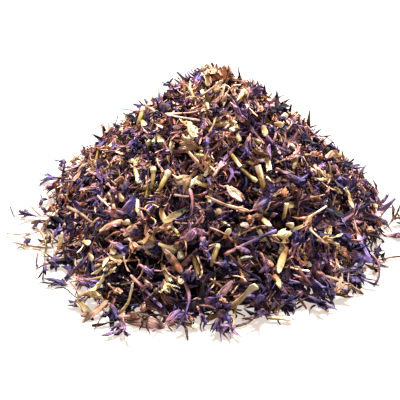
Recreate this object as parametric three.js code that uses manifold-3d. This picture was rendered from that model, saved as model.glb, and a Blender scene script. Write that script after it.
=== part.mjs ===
// A heap of dried cornflower, as it is poured out for tea: thousands of loose violet florets,
// with a few pale seeds, olive bracts and straw-coloured threads on it and round its foot.
// Millimetres, +Z up. The origin is on the surface that the heap lies on, under the middle of the foot.
// The fine florets of the real heap are drawn larger than life here, and fewer.

import * as THREE from "three";
import { ConvexGeometry } from "three/addons/geometries/ConvexGeometry.js";
import { mergeVertices } from "three/addons/utils/BufferGeometryUtils.js";
import Module from "manifold-3d";

const wasm = await Module();
wasm.setup();

// The heap as a whole
const PEAK_HEIGHT = 55;
const PEAK_OFFSET = new THREE.Vector2(5, -1.2); // the peak stands a little off the middle of the foot
const FOOT_RADIUS = 59.5; // mean radius of the foot
const FOOT_LOBES = [
  { order: 1, share: 0.02, turn: 103 },
  { order: 2, share: 0.055, turn: -3 },
  { order: 3, share: 0.095, turn: 59 },
  { order: 4, share: 0.03, turn: 167 },
]; // waves of the foot's outline, with their turn in degrees
const FOOT_DENT = { share: 0.125, turn: 194, reach: 46 }; // where the foot keeps back, in degrees to each side
const PEAK_ROUNDING = 0.14; // share of the foot's radius over which the cone's tip is rounded
const SLOPE_POWER = 0.82; // below 1 the flanks bulge, above 1 they sag

// The packed inside of the heap, which the outer florets stand out of
const PACKED_WIDTH = 0.95; // of the heap's own width
const PACKED_HEIGHT = 0.93;
const PACKED_RINGS = 8;
const PACKED_SECTORS = 26;
const PACKED_RIM = 1.2; // height of the packed inside at its rim
const PACKED_LUMPS = [-1.1, 1.3]; // how far its surface goes in and out
const PACKED_SHIFT = 0.32; // how far its corners stray, as a share of the step between them

// Florets of the outer layer, larger than life
const FLORETS = 122;
const FLORET_LENGTH = [17, 22];
const FLORET_SPREAD = [5, 6.6]; // half the width across the lobes
const FLORET_TUBE = 0.9; // half the width of the tube
const FLORET_DEPTH = 1.3; // how deep its tube is sunk
const FLORET_TILT = [0.12, 0.36]; // angles in radians
const FLORET_ROLL = [-0.4, 0.4];
const FLORET_BOW = [-0.14, 0.05]; // rise of the fan's end, as a share of the length
const FLORET_FOLD = [-0.25, 0.4]; // slope of the fan's halves
const PETAL_THICKNESS = 0.75;

// Bare tubes and shrivelled threads between the florets
const TUBES = 34;
const TUBE_LENGTH = [12, 18];
const TUBE_RADIUS = 0.75;
const TUBE_DEPTH = 2.5;
const TUBE_TILT = [0.12, 0.5];
const TUBE_CURL = [-0.25, 0.35]; // sideways reach of its end, as a share of the length
const RIM_SHARE = 0.85; // outside this share of the foot's radius, pieces point outwards
const RIM_HEADING = 0.45; // within this share of a half turn

// Loose pieces, each a solid of its own
const SEED_LENGTH = 7;
const SEED_RADIUS = 1.15;
const BRACT_LENGTH = 8.5;
const BRACT_WIDTH = 3.2;
const THREAD_LENGTH = 13;
const THREAD_RADIUS = 0.5;
const LOOSE_FLORET_LENGTH = 13;
const LOOSE_FLORET_SPREAD = 3.6;

const GAP = 0.4; // clearance that a loose piece keeps from the florets it lies among
const START_AWAY = 14; // how far outside the packed heap a loose piece starts to settle from
const SLIVER = 0.02; // edges shorter than this are closed up after the florets are joined
const FLOOR_GAP = 0.45; // lowest middle line of a blade above the surface
const FLOOR_FAN = 0.04; // how fast a blade on the surface rises towards its sides
const START_SHARE = 0.12; // nearest and farthest loose pieces on the heap, as shares of its radius
const END_SHARE = 0.92;
const GOLDEN_ANGLE = Math.PI * (3 - Math.sqrt(5));
const SEARCH_STEP = 0.02; // of a share of the radius and of a radian
const FLORET_COVER = 4; // thickness of the florets over the packed inside, about
const UP = new THREE.Vector3(0, 0, 1);

// The front view: how far away the heap's middle is, and how far the view looks down
const VIEW_DISTANCE = 258.6;
const VIEW_TILT = THREE.MathUtils.degToRad(27.2);
const VIEW_UP = new THREE.Vector3(0, Math.sin(VIEW_TILT), Math.cos(VIEW_TILT));
const VIEW_AWAY = new THREE.Vector3(0, Math.cos(VIEW_TILT), -Math.sin(VIEW_TILT));
const CUBE_CORNERS = [-1, 1].flatMap((x) =>
  [-1, 1].flatMap((y) => [-1, 1].map((z) => new THREE.Vector3(x, y, z))),
);

const COLOURS = {
  violet: new THREE.MeshStandardMaterial({ color: 0x54447c, roughness: 0.75, metalness: 0 }),
  cream: new THREE.MeshStandardMaterial({ color: 0xd9c27c, roughness: 0.6, metalness: 0 }),
  olive: new THREE.MeshStandardMaterial({ color: 0xa39552, roughness: 0.7, metalness: 0 }),
  straw: new THREE.MeshStandardMaterial({ color: 0xc48f5c, roughness: 0.75, metalness: 0 }),
};

// Seeded random numbers, the same on every run
function seededRandom(seed) {
  let state = seed;
  return () => {
    state = (state * 1664525 + 1013904223) % 4294967296;
    return state / 4294967296;
  };
}
const random = seededRandom(20);
const between = ([low, high]) => low + (high - low) * random();

// The heap's form: share runs from 0 at the peak to 1 at the foot
function footRadius(angle) {
  const wave = ({ order, share, turn }) => share * Math.cos(order * angle - THREE.MathUtils.degToRad(turn));
  const turned = THREE.MathUtils.radToDeg(angle) - FOOT_DENT.turn;
  const off = THREE.MathUtils.euclideanModulo(turned + 180, 360) - 180;
  const dent = FOOT_DENT.share * Math.exp(-((off / FOOT_DENT.reach) ** 4));
  return FOOT_RADIUS * FOOT_LOBES.reduce((sum, lobe) => sum + wave(lobe), 1 - dent);
}
function rise(share) {
  const slant = (s) => Math.hypot(s, PEAK_ROUNDING) - PEAK_ROUNDING;
  return Math.max(0, 1 - slant(share) / slant(1)) ** SLOPE_POWER;
}
function packedPoint(share, angle) {
  const level = rise(share);
  const radius = footRadius(angle) * share * PACKED_WIDTH;
  return new THREE.Vector3(
    radius * Math.cos(angle) + PEAK_OFFSET.x * level,
    radius * Math.sin(angle) + PEAK_OFFSET.y * level,
    PACKED_RIM + (PEAK_HEIGHT * PACKED_HEIGHT - PACKED_RIM) * level,
  );
}
// Where a piece lies on the heap: the point, the way out of the heap, and the way down its flank
function seatOn(share, angle) {
  const step = 0.02;
  const point = packedPoint(share, angle);
  const above = packedPoint(Math.max(0, share - step), angle);
  const down = packedPoint(share + step, angle).sub(above).normalize();
  const along = packedPoint(share, angle + step).sub(packedPoint(share, angle - step)).normalize();
  const out = new THREE.Vector3().crossVectors(down, along).normalize();
  return { point, out, down };
}

function anyHeading(share) {
  return between([-Math.PI, Math.PI]) * (share > RIM_SHARE ? RIM_HEADING : 1);
}

// A frame of three axes: along a piece, across it, and its upper side
function frameOf({ out, down }, heading, tilt, roll) {
  const along = down.clone().applyAxisAngle(out, heading);
  const across = new THREE.Vector3().crossVectors(out, along).normalize();
  along.applyAxisAngle(across, -tilt);
  const upper = new THREE.Vector3().crossVectors(along, across).applyAxisAngle(along, roll);
  return { along, across: new THREE.Vector3().crossVectors(upper, along), upper };
}

// three.js geometry to a solid and back
function closedUp(geometry) {
  const bare = new THREE.BufferGeometry().setAttribute("position", geometry.getAttribute("position"));
  bare.setIndex(geometry.index);
  return mergeVertices(bare, 1e-4);
}
function solidFrom(geometry) {
  const { attributes, index } = closedUp(geometry);
  const mesh = new wasm.Mesh({
    numProp: 3,
    vertProperties: attributes.position.array,
    triVerts: new Uint32Array(index.array),
  });
  return new wasm.Manifold(mesh);
}
function geometryFrom(solid) {
  const { vertProperties, triVerts, numProp, numVert } = solid.getMesh();
  const positions = new Float32Array(numVert * 3);
  for (let i = 0; i < numVert; i++)
    positions.set(vertProperties.subarray(i * numProp, i * numProp + 3), i * 3);
  const geometry = new THREE.BufferGeometry();
  geometry.setAttribute("position", new THREE.BufferAttribute(positions, 3));
  geometry.setIndex(new THREE.BufferAttribute(triVerts, 1));
  const faceted = geometry.toNonIndexed();
  faceted.computeVertexNormals();
  return faceted;
}

// A flat outline becomes a thin blade. bend lifts its middle line, and floor is the level that stops it.
function blade(points, thickness, bend, { origin, frame, floor }) {
  const shape = new THREE.Shape(points.map(([x, y]) => new THREE.Vector2(x, y)));
  const geometry = new THREE.ExtrudeGeometry(shape, { depth: thickness, bevelEnabled: false, steps: 1 });
  const position = geometry.getAttribute("position");
  for (let i = 0; i < position.count; i++) {
    const [x, y, z] = [position.getX(i), position.getY(i), position.getZ(i)];
    const middle = origin
      .clone()
      .addScaledVector(frame.along, x)
      .addScaledVector(frame.across, y)
      .addScaledVector(frame.upper, bend(x, y));
    middle.z = Math.max(middle.z, floor + FLOOR_FAN * Math.abs(y));
    middle.addScaledVector(frame.upper, z - thickness / 2);
    position.setXYZ(i, middle.x, middle.y, middle.z);
  }
  return geometry;
}

// Outline of a dried ray floret: a narrow tube that opens into a fan of pointed lobes
function floretOutline(length, spread, tube) {
  return [
    [0, -tube],
    [0.5 * length, -0.32 * spread],
    [0.86 * length, -spread],
    [0.7 * length, -0.3 * spread],
    [length, -0.08 * spread],
    [0.68 * length, 0.32 * spread],
    [0.9 * length, spread],
    [0.5 * length, 0.32 * spread],
    [0, tube],
  ];
}
// The fan bows along its length and is folded up or down across it
function floretBend(length, bow, fold) {
  return (x, y) => bow * length * (x / length) ** 2 + fold * Math.abs(y);
}

// The packed inside: a turned cone with a rounded tip, its outline waved as the foot is
function packedInside() {
  const profile = [new THREE.Vector2(0, 0), new THREE.Vector2(1, 0)];
  for (let ring = PACKED_RINGS; ring >= 0; ring--) profile.push(new THREE.Vector2(ring / PACKED_RINGS, 1));
  const geometry = new THREE.LatheGeometry(profile, PACKED_SECTORS);
  const position = geometry.getAttribute("position");
  // The last column closes the ring, so it strays as the first one does
  const strays = Array.from({ length: PACKED_SECTORS * profile.length }, () => ({
    share: between([-PACKED_SHIFT, PACKED_SHIFT]) / PACKED_RINGS,
    angle: (between([-PACKED_SHIFT, PACKED_SHIFT]) * 2 * Math.PI) / PACKED_SECTORS,
    out: between(PACKED_LUMPS),
  }));
  for (let i = 0; i < position.count; i++) {
    const share = Math.hypot(position.getX(i), position.getZ(i));
    const angle = Math.atan2(position.getX(i), position.getZ(i));
    const stray = strays[i % strays.length];
    let point = packedPoint(share, angle);
    if (position.getY(i) < 0.5) point.z = 0;
    else if (share > 0.01 && share < 0.99) {
      const seat = seatOn(share + stray.share, angle + stray.angle);
      point = seat.point.addScaledVector(seat.out, stray.out);
    }
    position.setXYZ(i, point.x, point.y, point.z);
  }
  return solidFrom(geometry);
}

// One floret of the outer layer, its tube sunk in the packed inside
function outerFloret(index) {
  const share = Math.sqrt((index + 0.5) / FLORETS);
  const seat = seatOn(share, index * GOLDEN_ANGLE);
  const length = between(FLORET_LENGTH);
  const frame = frameOf(seat, anyHeading(share), between(FLORET_TILT), between(FLORET_ROLL));
  const origin = seat.point
    .clone()
    .addScaledVector(seat.out, -FLORET_DEPTH)
    .addScaledVector(frame.along, -0.25 * length);
  const bend = floretBend(length, between(FLORET_BOW), between(FLORET_FOLD));
  const outline = floretOutline(length, between(FLORET_SPREAD), FLORET_TUBE);
  return solidFrom(blade(outline, PETAL_THICKNESS, bend, { origin, frame, floor: FLOOR_GAP }));
}

// One bare tube or thread of the outer layer: a curved spindle of three sides
function outerTube(index) {
  const share = Math.sqrt((index + 0.5) / TUBES);
  const seat = seatOn(share, index * GOLDEN_ANGLE + 1.3);
  const length = between(TUBE_LENGTH);
  const frame = frameOf(seat, anyHeading(share), between(TUBE_TILT), 0);
  const origin = seat.point
    .clone()
    .addScaledVector(seat.out, -TUBE_DEPTH)
    .addScaledVector(frame.along, -0.2 * length);
  const profile = [
    [0, 0],
    [TUBE_RADIUS, 0.05],
    [TUBE_RADIUS, 0.55],
    [0, 1],
  ].map(([radius, along]) => new THREE.Vector2(radius, along * length));
  const geometry = new THREE.LatheGeometry(profile, 3);
  const position = geometry.getAttribute("position");
  const curl = between(TUBE_CURL);
  for (let i = 0; i < position.count; i++) {
    const along = position.getY(i);
    const middle = origin
      .clone()
      .addScaledVector(frame.along, along)
      .addScaledVector(frame.across, curl * length * (along / length) ** 2);
    middle.z = Math.max(middle.z, TUBE_RADIUS + 0.1);
    middle.addScaledVector(frame.across, position.getZ(i)).addScaledVector(frame.upper, position.getX(i));
    position.setXYZ(i, middle.x, middle.y, middle.z);
  }
  return solidFrom(geometry);
}

// Loose pieces are made in their own frames, along +X with their upper side to +Z
const OWN_PLACE = {
  origin: new THREE.Vector3(),
  frame: { along: new THREE.Vector3(1, 0, 0), across: new THREE.Vector3(0, 1, 0), upper: UP },
  floor: -Infinity,
};

// A seed: a little barrel with a short brush of bristles at one end
function seed() {
  const profile = [
    [0, -0.5],
    [0.6, -0.42],
    [1, -0.2],
    [0.9, 0.05],
    [0.62, 0.16],
    [1.15, 0.5],
    [0, 0.42],
  ].map(([radius, along]) => new THREE.Vector2(SEED_RADIUS * radius, SEED_LENGTH * along));
  return new THREE.LatheGeometry(profile, 6).rotateZ(-Math.PI / 2);
}

// A bract: an oval, pointed, hollow-backed scale of the flower's cup
function bract() {
  const outline = [
    [-0.5, -0.16],
    [-0.2, -0.5],
    [0.15, -0.42],
    [0.5, 0],
    [0.15, 0.42],
    [-0.2, 0.5],
    [-0.5, 0.16],
  ].map(([x, y]) => [x * BRACT_LENGTH, y * BRACT_WIDTH]);
  const bend = (x, y) => 0.18 * Math.abs(y) + 1.6 * (x / BRACT_LENGTH) ** 2;
  return blade(outline, PETAL_THICKNESS, bend, OWN_PLACE);
}

// A thread: a shrivelled, curved strand of straw
function thread() {
  const half = THREAD_LENGTH / 2;
  const route = new THREE.CatmullRomCurve3([
    new THREE.Vector3(-half, 0, 0),
    new THREE.Vector3(-0.35 * half, 1.5, 0.5),
    new THREE.Vector3(0.35 * half, 0.2, 0.6),
    new THREE.Vector3(half, 2.1, 0),
  ]);
  const sides = 5;
  const ring = new THREE.EllipseCurve(0, 0, THREAD_RADIUS, THREAD_RADIUS).getPoints(sides).slice(0, sides);
  const section = new THREE.Shape(ring);
  return new THREE.ExtrudeGeometry(section, { steps: 6, extrudePath: route, bevelEnabled: false });
}

// A floret that lies free, at its real size, with five lobes
function looseFloret() {
  const outline = [
    [-0.5, -0.14],
    [-0.05, -0.34],
    [0.28, -1],
    [0.18, -0.56],
    [0.45, -0.6],
    [0.2, -0.18],
    [0.5, 0],
    [0.2, 0.2],
    [0.43, 0.55],
    [0.16, 0.5],
    [0.3, 1],
    [-0.05, 0.34],
    [-0.5, 0.14],
  ].map(([x, y]) => [x * LOOSE_FLORET_LENGTH, y * LOOSE_FLORET_SPREAD]);
  const bend = (x, y) => 0.16 * Math.abs(y) + 1.4 * ((2 * x) / LOOSE_FLORET_LENGTH) ** 2;
  return blade(outline, PETAL_THICKNESS, bend, OWN_PLACE);
}

// A loose piece as a mesh of its own
function loosePiece(name, form, colour, position, frame) {
  const mesh = new THREE.Mesh(form(), COLOURS[colour]);
  mesh.name = name;
  mesh.position.copy(position);
  const turned = new THREE.Matrix4().makeBasis(frame.along, frame.across, frame.upper);
  mesh.quaternion.setFromRotationMatrix(turned);
  mesh.updateMatrixWorld(true);
  return mesh;
}

function cornersOf(mesh) {
  const position = closedUp(mesh.geometry).getAttribute("position");
  return Array.from({ length: position.count }, (_, i) =>
    new THREE.Vector3().fromBufferAttribute(position, i).applyMatrix4(mesh.matrixWorld),
  );
}

// Slides a loose piece along a direction until one of its corners meets the florets, less the gap
function settle({ mesh, direction }, florets) {
  const ray = new THREE.Raycaster();
  const distances = cornersOf(mesh).flatMap((corner) => {
    ray.set(corner, direction);
    return ray.intersectObject(florets).map((hit) => hit.distance);
  });
  mesh.position.addScaledVector(direction, Math.min(...distances) - GAP);
  mesh.updateMatrixWorld(true);
}

// The nest that a loose piece lies in: the convex room round it, wider by the gap on every side
function roomFor({ mesh }) {
  const points = cornersOf(mesh).flatMap((corner) =>
    CUBE_CORNERS.map((side) => corner.clone().addScaledVector(side, GAP)),
  );
  return solidFrom(new ConvexGeometry(points));
}

// Loose pieces on the heap's flank. Those on the front: how far they lie across from the middle and up
// in the front view, in mm, and which way they point there, in degrees from the right
const ON_THE_HEAP = [
  {
    name: "seed",
    form: seed,
    colour: "cream",
    front: [
      [-15.3, 33.4, -65],
      [-21, 30.2, 56],
      [-21, 39.4, 60],
      [-17.1, 18.7, 76],
      [-23.4, 20.5, -75],
      [-12.2, 17, 65],
      [13, 36, -75],
      [17.5, 21.2, -45],
      [14, 46.4, 56],
      [31.9, 31.7, -38],
      [33.6, 23.6, 80],
      [-50.7, 1.2, 38],
      [-48.1, -7.2, 60],
      [5.3, -8.6, 73],
      [-1.9, -13.7, -70],
      [-12.2, -15.2, -70],
    ],
    elsewhere: 4,
  },
  {
    name: "bract",
    form: bract,
    colour: "olive",
    front: [
      [-9.1, 5.8, 35],
      [-8.5, -11.4, -45],
      [33.6, 8.6, 22],
      [41, 19.1, 15],
      [-3.1, 28.2, -30],
      [-44.1, 23.3, 20],
      [-18.2, -3.7, 52],
      [-5.2, 17.3, 42],
    ],
    elsewhere: 2,
  },
  {
    name: "thread",
    form: thread,
    colour: "straw",
    front: [
      [5, 33.6, -50],
      [8.4, 7.5, -25],
      [31.5, -7.9, -50],
      [20.3, 4.4, 50],
      [-30.8, -12.4, 10],
      [-32.5, 8.9, -60],
    ],
    elsewhere: 2,
  },
];

// The florets' upper side over a seat, as the front view shows it: across and up in mm, nearer parts larger
function inFrontView({ point, out }) {
  const top = point.clone().addScaledVector(out, FLORET_COVER);
  const enlarged = VIEW_DISTANCE / (VIEW_DISTANCE + top.dot(VIEW_AWAY));
  return new THREE.Vector2(top.x, top.dot(VIEW_UP)).multiplyScalar(enlarged);
}

// The seat on the front that the front view shows nearest to a place
function seatInFrontView(across, up) {
  const place = new THREE.Vector2(across, up);
  let nearest = { distance: Infinity };
  for (let share = START_SHARE; share <= 1; share += SEARCH_STEP) {
    for (let angle = -Math.PI; angle < Math.PI; angle += SEARCH_STEP) {
      const seat = seatOn(share, angle);
      const distance = inFrontView(seat).distanceTo(place);
      if (seat.out.dot(VIEW_AWAY) < 0 && distance < nearest.distance) nearest = { distance, seat };
    }
  }
  return nearest.seat;
}

// The heading from the way down the flank that the front view shows as an angle from the right
function headingInFrontView({ out, down }, degrees) {
  const turn = THREE.MathUtils.degToRad(degrees);
  const way = new THREE.Vector3(Math.cos(turn), 0, 0).addScaledVector(VIEW_UP, Math.sin(turn));
  way.addScaledVector(VIEW_AWAY, THREE.MathUtils.clamp(-way.dot(out) / VIEW_AWAY.dot(out), -1.5, 1.5));
  const across = new THREE.Vector3().crossVectors(out, down);
  return Math.atan2(way.dot(across), way.dot(down));
}

function pieceOnTheHeap({ name, form, colour }, index, seat, heading) {
  const frame = frameOf(seat, heading, between([-0.1, 0.15]), between([-0.3, 0.3]));
  const position = seat.point.clone().addScaledVector(seat.out, START_AWAY);
  const fullName = `${name}_on_heap_${String(index + 1).padStart(2, "0")}`;
  const mesh = loosePiece(fullName, form, colour, position, frame);
  return { mesh, direction: seat.out.clone().negate() };
}

function piecesOnTheHeap() {
  return ON_THE_HEAP.flatMap((kind, row) => {
    const front = kind.front.map(([across, up, degrees], i) => {
      const seat = seatInFrontView(across, up);
      return pieceOnTheHeap(kind, i, seat, headingInFrontView(seat, degrees));
    });
    // The others are spread over the back half
    const back = Array.from({ length: kind.elsewhere }, (_, i) => {
      const share = START_SHARE + (END_SHARE - START_SHARE) * ((i + 0.6) / kind.elsewhere);
      const seat = seatOn(share, Math.PI * (0.12 + 0.76 * ((i * 0.62 + row * 0.29 + 0.1) % 1)));
      return pieceOnTheHeap(kind, kind.front.length + i, seat, between([-Math.PI, Math.PI]));
    });
    return [...front, ...back];
  });
}

// Loose pieces round the foot, lying on the surface, with their place round it and their heading
// from the way out, both in degrees
const ROUND_THE_FOOT = [
  { form: looseFloret, name: "floret", colour: "violet", angle: 172, heading: 20 },
  { form: looseFloret, name: "floret", colour: "violet", angle: 183, heading: -150 },
  { form: thread, name: "thread", colour: "straw", angle: 193, heading: -5 },
  { form: looseFloret, name: "floret", colour: "violet", angle: 206, heading: 75 },
  { form: looseFloret, name: "floret", colour: "violet", angle: 222, heading: -40 },
  { form: bract, name: "bract", colour: "olive", angle: 238, heading: 60 },
  { form: looseFloret, name: "floret", colour: "violet", angle: 250, heading: 15 },
  { form: seed, name: "seed", colour: "cream", angle: 266, heading: 80 },
  { form: looseFloret, name: "floret", colour: "violet", angle: 279, heading: -30 },
  { form: seed, name: "seed", colour: "cream", angle: 291, heading: 65 },
  { form: looseFloret, name: "floret", colour: "violet", angle: 303, heading: 10 },
  { form: looseFloret, name: "floret", colour: "violet", angle: 322, heading: -25 },
  { form: thread, name: "thread", colour: "straw", angle: 340, heading: 25 },
  { form: looseFloret, name: "floret", colour: "violet", angle: 355, heading: -15 },
  { form: looseFloret, name: "floret", colour: "violet", angle: 20, heading: 60 },
  { form: seed, name: "seed", colour: "cream", angle: 48, heading: -50 },
  { form: looseFloret, name: "floret", colour: "violet", angle: 78, heading: 10 },
  { form: looseFloret, name: "floret", colour: "violet", angle: 112, heading: -70 },
  { form: looseFloret, name: "floret", colour: "violet", angle: 145, heading: 30 },
];

function piecesRoundTheFoot() {
  const counted = {};
  return ROUND_THE_FOOT.map(({ form, name, colour, angle, heading }) => {
    const turn = THREE.MathUtils.degToRad(angle);
    const radius = footRadius(turn) + START_AWAY;
    const geometry = form();
    geometry.computeBoundingBox();
    const lowest = geometry.boundingBox.min.z;
    const position = new THREE.Vector3(radius * Math.cos(turn), radius * Math.sin(turn), -lowest);
    const way = new THREE.Vector3(Math.cos(turn), Math.sin(turn), 0);
    const frame = frameOf({ out: UP, down: way }, THREE.MathUtils.degToRad(heading), 0, 0);
    counted[name] = (counted[name] ?? 0) + 1;
    const fullName = `${name}_at_foot_${String(counted[name]).padStart(2, "0")}`;
    const mesh = loosePiece(fullName, form, colour, position, frame);
    return { mesh, direction: way.clone().negate() };
  });
}

// The packed inside and its outer florets and tubes, fused into one
function fusedFlorets() {
  const parts = [packedInside()];
  for (let i = 0; i < FLORETS; i++) parts.push(outerFloret(i));
  for (let i = 0; i < TUBES; i++) parts.push(outerTube(i));
  return wasm.Manifold.union(parts);
}

// The heap in one piece: the fused florets less the nests of the loose pieces. Scraps cut free are dropped.
function floretHeap(fused, nests) {
  const bodies = fused.subtract(wasm.Manifold.union(nests)).simplify(SLIVER).decompose();
  bodies.sort((a, b) => b.volume() - a.volume());
  const mesh = new THREE.Mesh(geometryFrom(bodies[0]), COLOURS.violet);
  mesh.name = "floret_heap";
  return mesh;
}

const fused = fusedFlorets();
const florets = new THREE.Mesh(geometryFrom(fused), COLOURS.violet);
const loose = [...piecesOnTheHeap(), ...piecesRoundTheFoot()];
loose.forEach((piece) => settle(piece, florets));

const heap = new THREE.Group();
heap.add(floretHeap(fused, loose.map(roomFor)));
loose.forEach(({ mesh }) => heap.add(mesh));

export default heap;
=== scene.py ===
# %% [markdown]
# # A heap of dried cornflower
#
# Dried cornflower is sold loose: the florets are picked off the flower heads and dried, and what is poured
# out is a low cone of thousands of violet florets, with pale seeds, olive bracts and thin straw-coloured
# threads among them.
#
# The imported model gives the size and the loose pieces. This script dresses it in the fine pieces that the
# eye sees. Each kind of piece is modelled a few times as a small mesh, and then laid on the heap by the
# hundred, each copy turned and tinted in its own way.

import math
import random

import bmesh
import bpy
import numpy as np
from mathutils import Matrix, Vector, kdtree, noise


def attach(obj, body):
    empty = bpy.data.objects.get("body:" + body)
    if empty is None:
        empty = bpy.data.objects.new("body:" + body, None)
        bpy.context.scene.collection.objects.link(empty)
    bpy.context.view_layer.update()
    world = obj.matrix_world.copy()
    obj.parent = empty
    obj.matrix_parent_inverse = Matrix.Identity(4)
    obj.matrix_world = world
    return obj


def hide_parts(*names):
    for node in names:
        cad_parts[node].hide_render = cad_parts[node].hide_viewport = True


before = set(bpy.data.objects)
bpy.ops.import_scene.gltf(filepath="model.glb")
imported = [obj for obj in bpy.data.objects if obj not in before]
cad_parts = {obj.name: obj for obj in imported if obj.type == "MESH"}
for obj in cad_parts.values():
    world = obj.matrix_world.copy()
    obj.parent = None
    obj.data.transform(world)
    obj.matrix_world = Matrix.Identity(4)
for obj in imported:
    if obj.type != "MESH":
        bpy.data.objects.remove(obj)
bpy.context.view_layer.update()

# %% [markdown]
# ## The heap's form
#
# A poured heap is a cone whose tip is rounded and whose foot is never quite a circle. A formula is handier
# here than a mesh, because every floret needs a point on the slope and the way out of it. The foot's
# outline is a circle with four slow waves and a dent on the left, and the height falls from the peak to
# the foot.

# %% Measures of the heap
MM = 0.001
HEAP_HEIGHT = 55.8
FOOT_RADIUS = 60.3
PEAK_OFFSET = Vector((5, -1.2, 0))
PEAK_ROUNDING = 0.14
SLOPE_POWER = 0.82
FOOT_LOBES = (
    (1, 0.02, math.radians(103)),
    (2, 0.055, math.radians(-3)),
    (3, 0.095, math.radians(59)),
    (4, 0.03, math.radians(167)),
)
FOOT_DENT = (0.125, 194, 46)  # share, turn and reach to each side in degrees


def foot_radius(angle):
    waves = sum(share * math.cos(order * angle - turn) for order, share, turn in FOOT_LOBES)
    dent, middle, reach = FOOT_DENT
    off = (math.degrees(angle) - middle + 180) % 360 - 180
    return FOOT_RADIUS * (1 + waves - dent * math.exp(-((off / reach) ** 4)))


def rise(share):
    def slant(s):
        return math.hypot(s, PEAK_ROUNDING) - PEAK_ROUNDING

    return max(0.0, 1 - slant(share) / slant(1)) ** SLOPE_POWER


def heap_point(share, angle):
    """A point on the heap in mm: share runs from 0 at the peak to 1 at the foot."""
    level = rise(share)
    radius = foot_radius(angle) * share
    around = Vector((radius * math.cos(angle), radius * math.sin(angle), 0))
    return around + PEAK_OFFSET * level + Vector((0, 0, HEAP_HEIGHT * level))


def seat_on_heap(share, angle):
    """The point, the way out of the heap and the way down its slope."""
    step = 0.02
    down = heap_point(share + step, angle) - heap_point(max(0.0, share - step), angle)
    side = heap_point(share, angle + step) - heap_point(share, angle - step)
    out = down.cross(side).normalized()
    return heap_point(share, angle), out, down.normalized()


print("slope at half the radius, in degrees:", round(math.degrees(math.acos(seat_on_heap(0.5, 0.0)[1].z))))

# %% [markdown]
# ## The photo's view
#
# The camera was fitted to the heap's outline. It stands in front, 259 mm away, and looks down by 27 degrees.
# Its numbers come early, because some pieces are laid where the photo shows them. For that, a grid of seats
# on the heap and on the table round it is projected once, and the seat nearest to a place is looked up.

# %% Find seats in the photo's view
VIEW_DISTANCE = 258.6
VIEW_TILT = math.radians(27.2)
VIEW_UP = Vector((0, math.sin(VIEW_TILT), math.cos(VIEW_TILT)))
VIEW_AWAY = Vector((0, math.cos(VIEW_TILT), -math.sin(VIEW_TILT)))


def in_view(point):
    """How far across and up a point is seen, in mm at the heap's middle."""
    enlarged = VIEW_DISTANCE / (VIEW_DISTANCE + point.dot(VIEW_AWAY))
    return point.x * enlarged, point.dot(VIEW_UP) * enlarged


SEAT_RINGS = 50  # up to the foot
RINGS_BEYOND = 13  # on the table round the foot
SEAT_TURNS = 200

NEAR_SEATS = []
for i in range(1, SEAT_RINGS + RINGS_BEYOND + 1):
    for j in range(SEAT_TURNS):
        seat = seat_on_heap(i / SEAT_RINGS, j / SEAT_TURNS * 2 * math.pi)
        if seat[1].dot(VIEW_AWAY) < 0:
            NEAR_SEATS.append(seat)
SEATS_IN_VIEW = np.array([in_view(point) for point, _, _ in NEAR_SEATS])
print("seats on the near side:", len(NEAR_SEATS))


def seat_in_view(across, up):
    """The seat that the photo's view shows nearest to a place."""
    return NEAR_SEATS[int(np.hypot(*(SEATS_IN_VIEW - (across, up)).T).argmin())]


# %% [markdown]
# ## Growing a piece
#
# Every floret, thread and seed is longer than it is wide, so one way of modelling serves them all. A short
# closed prism is made across X, and its far face is pushed out again and again, wider or narrower each
# time. The result is closed, and it needs only a few dozen faces.
#
# Before a piece is bent, each corner is marked with how far along the piece it lies. The materials read
# that mark to fade the colour from the tube to the tips.

# %% Helpers that grow a piece
def start_piece(sides, radius, step):
    """A short closed prism along +X, and its far face."""
    bm = bmesh.new()
    place = Matrix.Rotation(math.pi / 2, 4, "Y") @ Matrix.Translation((0, 0, step / 2))
    bmesh.ops.create_cone(
        bm, cap_ends=True, segments=sides, radius1=radius * 0.7, radius2=radius, depth=step, matrix=place
    )
    return bm, max(bm.faces, key=lambda face: face.calc_center_median().x)


def grow(bm, face, step, size):
    """Pushes a face out by a step, scales it about its middle, and gives it back."""
    end = bmesh.ops.extrude_discrete_faces(bm, faces=[face])["faces"][0]
    bmesh.ops.translate(bm, vec=step, verts=end.verts)
    middle = end.calc_center_median()
    bmesh.ops.scale(bm, vec=(size, size, size), space=Matrix.Translation(-middle), verts=end.verts)
    return end


def grow_steps(bm, face, length, steps):
    """Grows a piece in steps, each given by its share of the length and by how much it widens."""
    for reach, size in steps:
        face = grow(bm, face, Vector((reach * length, 0, 0)), size)
    return face


def mark_strand(bm, length):
    """Lays a UV map along the piece in mm, and marks each corner from 0 at its base to 1 at its tip."""
    strand = bm.loops.layers.uv.new("strand")
    petal = bm.verts.layers.float_color.new("petal")
    for face in bm.faces:
        for loop in face.loops:
            spot = loop.vert.co
            loop[strand].uv = (spot.x, math.hypot(spot.y, spot.z) * math.atan2(spot.z, spot.y))
    for vert in bm.verts:
        vert[petal] = (min(1.0, max(0.0, vert.co.x / length)), 0.5, 0.0, 1.0)


# %% [markdown]
# ## Crumpling and curling
#
# Drying pulls a petal together: it folds flat, wrinkles, twists and curls. The folds come from noise that
# moves each corner a little, and how high each corner is raised is marked, so that the materials paint
# highlights on the crests and shade in the folds. The curl comes from a curved spine: it is walked in short
# steps, turning a little at each, and the piece's corners are carried along.
#
# The noise needs a seed of its own, or it follows the clock and no two runs are alike.

# %% Helpers that crumple and curl
noise.seed_set(1)
SPINE_STEPS = 24


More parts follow.
